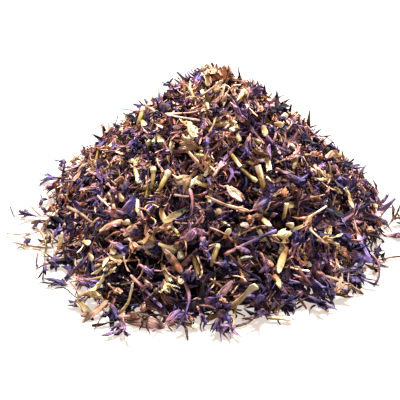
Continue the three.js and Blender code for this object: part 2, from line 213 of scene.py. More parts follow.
def crumple(bm, rng, flatness, wrinkle, grain):
    """Flattens a piece, then moves its corners by noise, and marks how high each is raised, for painted
    highlights and shade. Grain is the size of the wrinkles in mm.
    """
    petal = bm.verts.layers.float_color["petal"]
    seed = Vector((rng.uniform(0, 90), rng.uniform(0, 90), rng.uniform(0, 90)))
    for vert in bm.verts:
        vert.co.z *= flatness
        push = noise.noise_vector(vert.co / grain + seed)
        along, _, _, _ = vert[petal]
        vert.co += push * wrinkle * (0.35 + 0.65 * along)
        vert[petal] = (along, min(1.0, max(0.0, 0.5 + 0.9 * push.z)), 0.0, 1.0)


def curl(bm, length, turns):
    """Bends a piece along a spine. Each turn is how far it bows, sways and twists there, in radians."""
    spots, frames = [Vector()], [Matrix.Identity(3)]
    for i in range(SPINE_STEPS):
        reach = i / SPINE_STEPS * (len(turns) - 1)
        low = min(int(reach), len(turns) - 2) if len(turns) > 1 else 0
        high = min(low + 1, len(turns) - 1)
        bow, sway, twist = (Vector(turns[low]).lerp(Vector(turns[high]), reach - low)) / SPINE_STEPS
        turn = Matrix.Rotation(-bow, 3, "Y") @ Matrix.Rotation(sway, 3, "Z") @ Matrix.Rotation(twist, 3, "X")
        frames.append(frames[-1] @ turn)
        spots.append(spots[-1] + frames[-1] @ Vector((length / SPINE_STEPS, 0, 0)))
    for vert in bm.verts:
        at = min(SPINE_STEPS, max(0.0, vert.co.x / length * SPINE_STEPS))
        i = min(int(at), SPINE_STEPS - 1)
        spot = spots[i].lerp(spots[i + 1], at - i)
        beyond = vert.co.x - at / SPINE_STEPS * length
        vert.co = spot + frames[i + 1] @ Vector((beyond, vert.co.y, vert.co.z))


def refine(bm):
    """Splits every edge in two and rounds the piece, for one that is seen on its own."""
    bmesh.ops.subdivide_edges(bm, edges=bm.edges, cuts=1, smooth=0.5, use_grid_fill=True)
    bmesh.ops.triangulate(bm, faces=[face for face in bm.faces if len(face.verts) > 4])


def finish_piece(bm, name):
    """Centres a piece, turns its faces outwards and gives its mesh."""
    middle = sum((vert.co for vert in bm.verts), Vector()) / len(bm.verts)
    bmesh.ops.translate(bm, vec=-middle, verts=bm.verts)
    bmesh.ops.recalc_face_normals(bm, faces=bm.faces)
    mesh = bpy.data.meshes.new(name)
    bm.to_mesh(mesh)
    bm.free()
    mesh.attributes.new("tint", "FLOAT_COLOR", "POINT")
    return mesh


# %% [markdown]
# ## Florets
#
# The violet part of a cornflower is its ring of ray florets. Each is a thin tube that opens into a funnel
# with five to seven slender, pointed lobes. Dried, the funnel folds flat and its lobes curl in different
# directions, like a worn brush. The disc florets from the middle of the flower are smaller: their tube is
# as long, but it ends in a little star. Closed florets never opened, and their lobes stay together.
#
# Both are made in the same way, with other measures. The tube is grown in three steps, its end is split
# into as many triangles as it has sides, and each triangle is grown into a lobe.

# %% Model one floret
def grow_lobes(bm, mouth, rng, reach, spread, tip):
    """Splits a mouth into triangles and grows each one into a pointed lobe."""
    split = bmesh.ops.poke(bm, faces=[mouth])
    bmesh.ops.translate(bm, vec=(-0.3 * reach, 0, 0), verts=split["verts"])
    for face in split["faces"]:
        middle = face.calc_center_median()
        outward = Vector((0, middle.y, middle.z)).normalized()
        lean = outward * spread * rng.uniform(0.4, 1.4)
        sway = Vector((0, rng.uniform(-0.45, 0.45), rng.uniform(-0.45, 0.45))) * reach
        own_reach = reach * rng.uniform(0.55, 1.15)
        blade = grow(bm, face, Vector((0.58 * own_reach, 0, 0)) + 0.45 * lean, rng.uniform(0.75, 1.15))
        grow(bm, blade, Vector((0.42 * own_reach, 0, 0)) + 0.55 * lean + sway, tip)


def floret(rng, name, lengths, sides, lobe_share, throats, spreads, flatness, wrinkle, bend, fine=False):
    """A dried floret along +X, with as many lobes as sides. Its throat is the radius where the tube opens
    into lobes, and its spread is how far they lean out. Pairs are ranges that one number is drawn from."""
    length = rng.uniform(*lengths)
    reach = length * lobe_share * rng.uniform(0.85, 1.15)
    body = length - reach
    tube = rng.uniform(0.26, 0.36)
    throat = rng.uniform(*throats)
    bm, end = start_piece(rng.choice(sides), tube, 0.36 * body)
    end = grow(bm, end, Vector((0.36 * body, 0, 0)), rng.uniform(1.1, 1.5))
    radius = max((vert.co - end.calc_center_median()).length for vert in end.verts)
    end = grow(bm, end, Vector((0.28 * body, 0, 0)), throat / radius)
    grow_lobes(bm, end, rng, reach, rng.uniform(*spreads), 0.16)
    mark_strand(bm, length)
    if fine:
        refine(bm)
    crumple(bm, rng, rng.uniform(*flatness), wrinkle, 1.25)
    curl(bm, length, [(rng.gauss(0, bend), rng.gauss(0, bend), rng.gauss(0, 2 * bend)) for _ in range(3)])
    return finish_piece(bm, name)


# %% Model the kinds of floret
def florets(name, first_seed, count, *measures):
    return [floret(random.Random(first_seed + i), name, *measures) for i in range(count)]


RAY_FLORETS = florets(
    "ray_floret", 0, 28, (10, 13.5), (5, 5, 6, 6), 0.6, (0.7, 1.05), (0.8, 3.2), (0.4, 0.75), 1.1, 0.8
)
CLOSED_FLORETS = florets(
    "closed_floret", 50, 20, (8, 11.5), (4, 5), 0.58, (0.5, 0.8), (0.5, 2.4), (0.4, 0.75), 1.0, 1.0
)
DISC_FLORETS = florets(
    "disc_floret", 100, 28, (6.5, 10), (5, 5, 4), 0.42, (0.5, 0.85), (1.2, 3.2), (0.5, 0.9), 0.8, 1.2
)
print("ray floret faces:", [len(mesh.polygons) for mesh in RAY_FLORETS])
print("disc floret faces:", [len(mesh.polygons) for mesh in DISC_FLORETS])

# %% [markdown]
# ## Threads and ribbons
#
# Styles, stamens and empty tubes dry to thin strands the colour of straw. A thread is round and hair-thin
# and curls freely, and some end in a small knob. A ribbon is a flat strip that twists.

# %% Model the threads and ribbons
KNOBBED_SHARE = 0.4  # of the threads


def thread(rng, fine=False):
    length = rng.uniform(5, 11.5)
    steps = 8
    bm, end = start_piece(3, rng.uniform(0.15, 0.24), length / steps)
    tip = 1.7 if rng.random() < KNOBBED_SHARE else 0.35
    sizes = [rng.uniform(0.85, 1.15) for _ in range(steps - 2)] + [tip]
    grow_steps(bm, end, length, [(1 / steps, size) for size in sizes])
    mark_strand(bm, length)
    if fine:
        refine(bm)
    crumple(bm, rng, 1.0, 0.15, 1.5)
    swing = 0.8 if fine else 2.8
    curl(bm, length, [(rng.uniform(-swing, swing), rng.uniform(-swing, swing), 0) for _ in range(4)])
    return finish_piece(bm, "thread")


def ribbon(rng):
    length = rng.uniform(4.5, 8.5)
    steps = 5
    bm, end = start_piece(4, rng.uniform(0.32, 0.62), length / steps)
    sizes = [rng.uniform(0.75, 1.35) for _ in range(steps - 2)] + [0.3]
    grow_steps(bm, end, length, [(1 / steps, size) for size in sizes])
    mark_strand(bm, length)
    crumple(bm, rng, 0.35, 0.35, 1.4)
    curl(bm, length, [(rng.uniform(-2, 2), rng.uniform(-1.2, 1.2), rng.uniform(-3, 3)) for _ in range(3)])
    return finish_piece(bm, "ribbon")


THREADS = [thread(random.Random(200 + seed)) for seed in range(20)]
RIBBONS = [ribbon(random.Random(300 + seed)) for seed in range(20)]
print("thread faces:", len(THREADS[0].polygons), "ribbon faces:", len(RIBBONS[0].polygons))

# %% [markdown]
# ## Seeds
#
# A cornflower seed is a smooth, slightly flattened little rod. It is olive at its foot and pale towards
# the brush of stiff hairs at its other end, which looks like a cut-off, paler piece of the same rod.

# %% Model the seeds
def seed_rod(rng, fine=False):
    length = rng.uniform(6.2, 8.2)
    radius = rng.uniform(0.7, 0.9)
    bm, end = start_piece(6, radius * 0.6, 0.08 * length)
    grow_steps(bm, end, length, ((0.14, 1.55), (0.3, 1.06), (0.16, 0.93), (0.3, 1.16), (-0.02, 0.8)))
    mark_strand(bm, length)
    if fine:
        refine(bm)
    crumple(bm, rng, 0.72, 0.1, 2.0)
    curl(bm, length, [(rng.uniform(-0.25, 0.35), rng.uniform(-0.2, 0.2), 0.0)])
    return finish_piece(bm, "seed")


SEEDS = [seed_rod(random.Random(400 + seed)) for seed in range(10)]
print("seed faces:", len(SEEDS[0].polygons))

# %% [markdown]
# ## Bracts and crumbs
#
# Bracts are the papery scales of the flower's cup: thin, hollow, wide in the middle and pointed. Crumbs are
# what breaks off everything else: flat chips a millimetre or two across.

# %% Model the bracts and crumbs
def bract(rng, fine=False):
    length = rng.uniform(5.5, 8.5)
    bm, end = start_piece(6, 0.45, 0.1 * length)
    grow_steps(bm, end, length, ((0.2, rng.uniform(1.6, 2.2)), (0.25, 1.15), (0.25, 0.8), (0.2, 0.3)))
    mark_strand(bm, length)
    if fine:
        refine(bm)
    crumple(bm, rng, 0.2, 0.45, 1.8)
    for vert in bm.verts:
        vert.co.z += 0.28 * vert.co.y ** 2
    curl(bm, length, [(rng.uniform(0.1, 0.9), rng.uniform(-0.3, 0.3), rng.uniform(-0.5, 0.5))])
    return finish_piece(bm, "bract")


def crumb(rng):
    length = rng.uniform(1.2, 2.8)
    bm, end = start_piece(rng.choice((3, 4)), rng.uniform(0.35, 0.7), 0.4 * length)
    grow(bm, end, Vector((0.6 * length, rng.uniform(-0.3, 0.3), 0)), rng.uniform(0.2, 0.7))
    mark_strand(bm, length)
    crumple(bm, rng, 0.4, 0.35, 0.8)
    return finish_piece(bm, "crumb")


BRACTS = [bract(random.Random(500 + seed)) for seed in range(10)]
CRUMBS = [crumb(random.Random(600 + seed)) for seed in range(16)]
print("bract faces:", len(BRACTS[0].polygons), "crumb faces:", len(CRUMBS[0].polygons))

# %% [markdown]
# ## The dark heart
#
# Between the florets the eye sees into the heap, where hardly any light comes back. That depth is a closed
# mound a few millimetres under the outer layer, coloured near-black as painted shade. Its profile is spun
# once round and every corner is then moved onto the heap's form, with lumps from noise.

# %% Model the heart
HEART_DEPTH = 5.5
HEART_RINGS = 40
HEART_TURNS = 120
HEART_EDGE = 0.94  # share of the heap's radius
HEART_LUMPS = ((1.6, 4.0), (0.7, 1.6))  # height and width in mm


def heart_mesh():
    bm = bmesh.new()
    verts = [bm.verts.new((ring / HEART_RINGS, 0, 1)) for ring in range(HEART_RINGS + 1)]
    verts += [bm.verts.new((1, 0, 0)), bm.verts.new((0, 0, 0))]
    edges = [bm.edges.new(pair) for pair in zip(verts, verts[1:])]
    around = {"cent": (0, 0, 0), "axis": (0, 0, 1), "angle": 2 * math.pi}
    bmesh.ops.spin(bm, geom=verts + edges, steps=HEART_TURNS, use_merge=True, **around)
    bmesh.ops.remove_doubles(bm, verts=bm.verts, dist=1e-5)
    for vert in bm.verts:
        share, angle = math.hypot(vert.co.x, vert.co.y), math.atan2(vert.co.y, vert.co.x)
        point, out, _ = seat_on_heap(min(share, HEART_EDGE), angle)
        lumps = sum(height * noise.noise(point / width) for height, width in HEART_LUMPS)
        sunk = point - out * (HEART_DEPTH - lumps)
        sunk.z = max(0.2, sunk.z) if vert.co.z > 0.5 else 0.1
        vert.co = sunk * MM
    bmesh.ops.recalc_face_normals(bm, faces=bm.faces)
    mesh = bpy.data.meshes.new("heap_heart")
    bm.to_mesh(mesh)
    bm.free()
    return mesh


heart = bpy.data.objects.new("heap_heart", heart_mesh())
bpy.context.scene.collection.objects.link(heart)
print("heart faces:", len(heart.data.polygons))

# %% [markdown]
# ## Laying pieces on the heap
#
# A poured piece lies nearly flat on the slope, points anywhere, and pokes out a little at one end. So each
# copy gets a seat on the slope, sunk by its own depth, a free heading and a small tilt. Where its lowest
# corner would end up under the table, it is lifted back onto it. Each copy also gets a tint of its own: a
# random number for its hue, one for its lightness, and painted shade for the light that is left at its depth.

# %% Helpers that lay pieces
TABLE_GAP = 0.06  # mm
SHADE_DEPTH = 4.4  # mm below the heap's form at which hardly any light is left
HOLLOW_WIDTH = 6.0  # mm
HOLLOW_DEPTH = 8.0  # mm
HOLLOW_START = 0.2  # how strong the noise is before it counts
DARK_SPOT = (3, -42)  # mm, the middle of the deepest hollows
DARK_AREA = 1000  # mm2


def hollow(point):
    """How far the layer is sunk at a point in mm: a slow noise, of which only the low parts count. The
    hollows are deepest in the lower middle of the front, where the photo is darkest."""
    # A piece sunk into a hollow also gets more painted shade, from the light left at its depth.
    low_down = 1.3 - 1.0 * point.z / HEAP_HEIGHT
    off = (point.x - DARK_SPOT[0]) ** 2 + (point.y - DARK_SPOT[1]) ** 2
    front = 0.8 + 0.75 * math.exp(-off / DARK_AREA)
    return HOLLOW_DEPTH * low_down * front * max(0.0, -1.6 * noise.noise(point / HOLLOW_WIDTH) - HOLLOW_START)


def lying(point, out, along, tilt, roll, size):
    """The matrix that lays a piece at a point, along a direction and with its back to the way out."""
    side = out.cross(along).normalized()
    along = side.cross(out)
    axes = Matrix((along, side, out)).transposed().to_4x4()
    lean = Matrix.Rotation(-tilt, 4, "Y") @ Matrix.Rotation(roll, 4, "X")
    return Matrix.Translation(point * MM) @ axes @ lean @ Matrix.Scale(size * MM, 4)


def add_copy(bm, piece, matrix, tint):
    """Adds one tinted copy of a small mesh, lifted where it would reach under the table."""
    copy = piece.copy()
    copy.transform(matrix)
    spots = np.empty(len(copy.vertices) * 3, np.float32)
    copy.vertices.foreach_get("co", spots)
    lowest = spots[2::3].min()
    if lowest < TABLE_GAP * MM:
        copy.transform(Matrix.Translation((0, 0, TABLE_GAP * MM - lowest)))
    copy.attributes["tint"].data.foreach_set("color", list(tint) * len(copy.vertices))
    bm.from_mesh(copy)
    bpy.data.meshes.remove(copy)


def piece_from(bm, name):
    mesh = bpy.data.meshes.new(name)
    bm.to_mesh(mesh)
    bm.free()
    piece = bpy.data.objects.new(name, mesh)
    bpy.context.scene.collection.objects.link(piece)
    return piece


# %% [markdown]
# ## Pieces that the photo shows
#
# Most of the heap is a blur of like pieces, but some can be told apart in the photo: dark fans, long curled
# strands, pale flakes, stars of dried disc florets and a crumpled cup on the peak. They are modelled with
# finer faces and laid one by one on top of the poured ones.

# %% Model the pieces to be laid one by one
def fine_floret(name, *measures):
    """A function that models one more floret of a kind with finer faces."""

    def model(rng):
        return floret(rng, name, *measures, fine=True)

    return model


def strip(name, length, radius, first_step, steps, flatness, bend):
    """A function that models one more strand of a kind. Its steps are shares of the length and widenings."""

    def model(rng):
        bm, end = start_piece(6, radius, first_step * length)
        grow_steps(bm, end, length, steps)
        mark_strand(bm, length)
        refine(bm)
        crumple(bm, rng, flatness, 0.3 * flatness ** 0.5, 1.5)
        curl(bm, length, [[rng.uniform(-bend, bend) for _ in range(3)] for _ in range(3)])
        return finish_piece(bm, name)

    return model


# Ray florets: a broad one with slender lobes side by side, and a folded lobe that broke off
fan = fine_floret("fan", (11, 13), (8, 9), 0.62, (1.1, 1.4), (1.0, 1.8), (0.35, 0.5), 0.6, 0.6)
blade = fine_floret("blade", (8, 10), (4, 5), 0.62, (0.55, 0.75), (0.2, 0.7), (0.5, 0.7), 0.5, 0.5)
# A round knob on a short tube, a disc floret seen from above, and scales of the flower's cup round a tube
bud = fine_floret("bud", (5, 5.5), (7, 7), 0.3, (1.1, 1.3), (-1.6, -1.2), (0.8, 0.9), 0.3, 0.2)
star = fine_floret("star", (6, 7), (6, 7), 0.55, (0.6, 0.9), (2.4, 3.6), (0.6, 0.8), 0.7, 0.6)
cup = fine_floret("cup", (7, 8), (6, 7), 0.5, (1.1, 1.4), (0.6, 1.6), (0.45, 0.6), 0.7, 0.5)
# A long, hollow scale, a stout style or empty tube, a short flake, and a piece of stalk with a knot
leaf = strip("leaf", 9, 0.5, 0.1, ((0.2, 1.9), (0.3, 1.15), (0.25, 0.75), (0.15, 0.3)), 0.3, 0.5)
strand = strip("strand", 9, 0.27, 0.12, ((0.25, 1.2), (0.25, 0.8), (0.2, 1.25), (0.18, 0.4)), 0.55, 1.7)
chip = strip("chip", 3.5, 0.6, 0.2, ((0.35, 1.6), (0.25, 0.95), (0.2, 0.5)), 0.35, 0.5)
stem = strip(
    "stem", 15, 0.45, 0.15, ((0.2, 0.85), (0.2, 1.0), (0.15, 1.3), (0.15, 0.8), (0.15, 1.1)), 0.9, 0.3
)

# %% Lay pieces one by one
LAID_ABOVE = 1.4  # mm above the heap's form, over most of the poured pieces
# Painted shade, dimming the pieces laid on the heap and, more so, those alone on the table.
LAID_PAINTED_SHADE = 0.85
OPEN_PAINTED_SHADE = 0.5  # of a piece alone on the table, where no other piece takes light from it
LONGEST_STRETCH = 1.25  # of a piece that points away from the camera and so looks shorter


def lay_by_hand(name, rows, seed):
    """Lays each row's piece where the photo shows it. A row gives the model, how far across and up it is
    seen in mm, which way it points from the right in degrees, its length in mm, its hue and its lightness."""
    rng = random.Random(seed)
    bm = bmesh.new()
    for model, across, up, degrees, length, hue, lightness in rows:
        point, out, _ = seat_in_view(across, up)
        turn = math.radians(degrees)
        way = Vector((math.cos(turn), 0, 0)) + VIEW_UP * math.sin(turn)
        way += VIEW_AWAY * min(1.0, max(-1.0, -way.dot(out) / VIEW_AWAY.dot(out)))
        mesh = model(rng)
        spots = [vert.co.x for vert in mesh.vertices]
        size = length * min(LONGEST_STRETCH, way.length) / (max(spots) - min(spots))
        girth = max(1.0, size ** -0.6)  # a short piece is hardly thinner than a long one
        facing = (out - VIEW_AWAY).normalized()  # halfway between out of the heap and towards the camera
        tilt, roll = rng.uniform(0, 0.15), rng.uniform(-0.4, 0.4)
        place = lying(point + out * LAID_ABOVE, facing, way, tilt, roll, size)
        place = place @ Matrix.Diagonal((1, girth, girth, 1))
        # Painted shade: a laid piece on the heap is dimmed, and one alone on the table, which gets the full
        # light, more so.
        dimming = LAID_PAINTED_SHADE if point.z > 1 else OPEN_PAINTED_SHADE
        add_copy(bm, mesh, place, (hue, 0.5, dimming * lightness, 1.0))
    print(name, "pieces:", len(rows), "faces:", len(bm.faces))
    return piece_from(bm, name)


VIOLET_BY_HAND = (
    (fan, 36.4, -21.9, -30, 10.5, 0.35, 0.9),
    (fan, 41, -19.8, -60, 9.8, 0.3, 0.8),
    (blade, 44.5, -22.6, -50, 10.5, 0.5, 1.1),
    (fan, 48, -19.8, -20, 10.5, 0.4, 0.9),
    (fan, 52.2, -17, 10, 9.8, 0.25, 0.8),
    (fan, 38.9, -25.4, 160, 9.8, 0.45, 0.9),
    (blade, 33.3, -24.7, 190, 9.8, 0.3, 0.8),
    (fan, -24.5, 33.8, -33, 6.6, 0.3, 1.2),
    (fan, -23.4, 28.9, 10, 6.3, 0.35, 1.3),
    (blade, -29.4, 29.2, -90, 5.2, 0.4, 1.3),
    (blade, -23.4, 38, -40, 8, 0.1, 0.22),
    (blade, -20.3, 33.4, -85, 6.3, 0.85, 1.6),
    (fan, -40.2, 26.8, -30, 5.6, 0.4, 1.1),
    (fan, -36, 24.3, -60, 4.9, 0.35, 1.1),
    (fan, -48.6, 22.2, -125, 4.9, 0.45, 0.9),
    (blade, -35.7, 19.1, -25, 6.3, 0.88, 1.7),
    (blade, -34.3, 38.3, -50, 5.2, 0.8, 1.3),
    (blade, -31.1, 38, -20, 3.5, 0.2, 0.3),
    (strand, -30.8, 35.2, 40, 9.1, 0.6, 0.35),
    (fan, -41.3, 15.9, -110, 4.2, 0.35, 1.2),
    (fan, -25.2, 14.5, -80, 6.3, 0.25, 0.5),
    (strand, -36.7, 13.5, 20, 7.7, 0.7, 1.3),
    (blade, -29.7, 12.8, -60, 5.9, 0.8, 1.3),
    (blade, -11.2, 51.6, 115, 5.6, 0.2, 0.2),
    (fan, -0.7, 51.6, 60, 5.2, 0.5, 1.9),
    (blade, 8.8, 53.4, 0, 3.8, 0.35, 0.9),
    (fan, -12.2, 41.8, -70, 7.7, 0.15, 0.45),
    (blade, 1.4, 35.9, 33, 4.9, 0.9, 1.3),
    (blade, 3.9, 33.1, 30, 5.6, 0.3, 1.1),
    (blade, 12.6, 41.1, -38, 7.3, 0.65, 1.2),
    (fan, 17.5, 47.8, 10, 4.9, 0.55, 1.8),
    (fan, 4.9, 42.5, -80, 5.6, 0.35, 0.7),
    (blade, 16.1, 28.9, -110, 8, 0.5, 1.2),
    (blade, 25.2, 40.8, 3, 8.4, 0.1, 0.2),
    (fan, 26.6, 39, -60, 4.5, 0.15, 0.45),
    (blade, 35.7, 31.7, -58, 9.1, 0.15, 0.25),
    (blade, 37.8, 33.4, -50, 5.9, 0.75, 1.3),
    (strand, 46.6, 30.6, -40, 6.3, 0.4, 0.4),
    (blade, 31.2, 25.7, 35, 5.6, 0.92, 1.1),
    (blade, 31.2, 18, -33, 12.6, 0.25, 0.65),
    (blade, 41, 21.5, 15, 4.2, 0.55, 2.4),
    (blade, 47.6, 17.7, -75, 5.9, 0.4, 1),
    (blade, 48, 22.6, -15, 5.9, 0.2, 0.4),
    (blade, 42.7, 11.4, -100, 5.2, 0.45, 1.4),
    (blade, -56, 8.6, 65, 4.9, 0.45, 1.1),
    (strand, -66.1, 4.4, -60, 4.5, 0.35, 0.6),
    (blade, -54.9, 5.4, -30, 3.5, 0.35, 0.7),
    (fan, -49.3, -1.9, 55, 5.2, 0.5, 1.4),
    (fan, -57.7, -0.2, 0, 3.5, 0.5, 0.9),
    (fan, -60.5, -5.4, -40, 4.9, 0.35, 0.9),
    (strand, -56.7, -12.1, -70, 6.3, 0.4, 0.7),
    (blade, -54.2, -16.6, -85, 6.6, 0.4, 1),
    (blade, -51.4, -14.2, -35, 4.2, 0.45, 1),
    (blade, -26.9, 4.7, 4, 11.9, 0.3, 0.9),
    (strand, -4.5, 5.3, -63, 9.1, 0.65, 1.3),
    (strand, -8, 3.7, -60, 5.2, 0.4, 1),
    (blade, -24.5, -1.9, -5, 5.2, 0.4, 1.1),
    (blade, -27.6, -7.2, -25, 7.3, 0.45, 1.2),
    (strand, -32.9, -7.9, -105, 6.6, 0.7, 1.3),
    (blade, -18.9, -13.8, -35, 4.9, 0.65, 1.3),
    (strand, -18.9, -22.6, -38, 12.9, 0.65, 1.4),
    (fan, -4.5, -15.2, -110, 5.2, 0.25, 1),
    (fan, -5.2, -3.3, 25, 9.8, 0.78, 1.2),
    (fan, -0.3, -4, -60, 4.9, 0.55, 1.3),
    (fan, 2.1, 5.8, -75, 7, 0.1, 0.4),
    (stem, 16.8, -3.7, 27, 15.7, 0.45, 0.9),
    (bud, 22.4, -6.5, 60, 2.8, 0.15, 0.7),
    (strand, 14, -14.2, -45, 11.9, 0.35, 0.4),
    (blade, 6.7, -12.4, 0, 4.9, 0.35, 1),
    (blade, 1.8, -9.6, -50, 4.9, 0.5, 1.2),
    (leaf, 14.7, -8.2, -25, 4.2, 0.7, 1),
    (blade, 20.7, -11.4, -65, 7.7, 0.7, 1),
    (fan, 32.2, -3.7, 60, 7.3, 0.15, 1.1),
    (fan, 20, 8.2, 10, 8.4, 0.35, 0.9),
    (blade, 63.4, 8.6, 45, 5.2, 0.5, 1.4),
    (fan, 47.6, -0.5, -35, 10.1, 0.3, 0.8),
    (leaf, 53.2, -8.6, -38, 9.1, 0.55, 1.5),
    (strand, 54.3, -4.4, 0, 8, 0.6, 0.8),
    (strand, 60.6, -0.9, -20, 3.1, 0.3, 0.4),
    (strand, 60.6, -3, -20, 3.1, 0.3, 0.4),
    (fan, 59.2, -8.6, -70, 4.2, 0.5, 1),
    (strand, 63, -11.7, -12, 4.9, 0.3, 0.5),
    (strand, 61.3, -14.5, -3, 4.9, 0.6, 1),
    (strand, 60.2, -17, -28, 6.3, 0.8, 1.3),
    (blade, 50.4, -19.4, 8, 8.4, 0.7, 1.2),
    (strand, 36.8, -22.2, -62, 12.6, 0.7, 0.8),
    (strand, 42, -23.6, -45, 10.5, 0.7, 1.3),
    (strand, 45.5, -21.2, -60, 4.9, 0.35, 0.6),
    (fan, -38.8, -19.4, -12, 7.7, 0.5, 1.4),
    (fan, -41.6, -26.8, -140, 4.9, 0.6, 0.8),
    (fan, -30.4, -31.7, -130, 5.6, 0.35, 1),
    (fan, -9.4, -31.3, 20, 9.8, 0.62, 1.4),
    (strand, -15.4, -34.8, -150, 5.9, 0.8, 1.4),
    (strand, -4.9, -24.3, -47, 10.5, 0.5, 1.1),
    (fan, 3.5, -25.7, -15, 7, 0.45, 1.2),
    (fan, 6.3, -28.5, -30, 6.3, 0.45, 1.2),
    (fan, 27.3, -28.9, -35, 8.8, 0.4, 1),
    (fan, 19.3, -25, 20, 8.4, 0.5, 1.2),
    (blade, 15.1, -22.2, 20, 7.7, 0.35, 1),
    (blade, 0.4, -31.7, -62, 7, 0.6, 1.3),
    (blade, 42.4, 6.1, -12, 9.1, 0.1, 0.2),
)
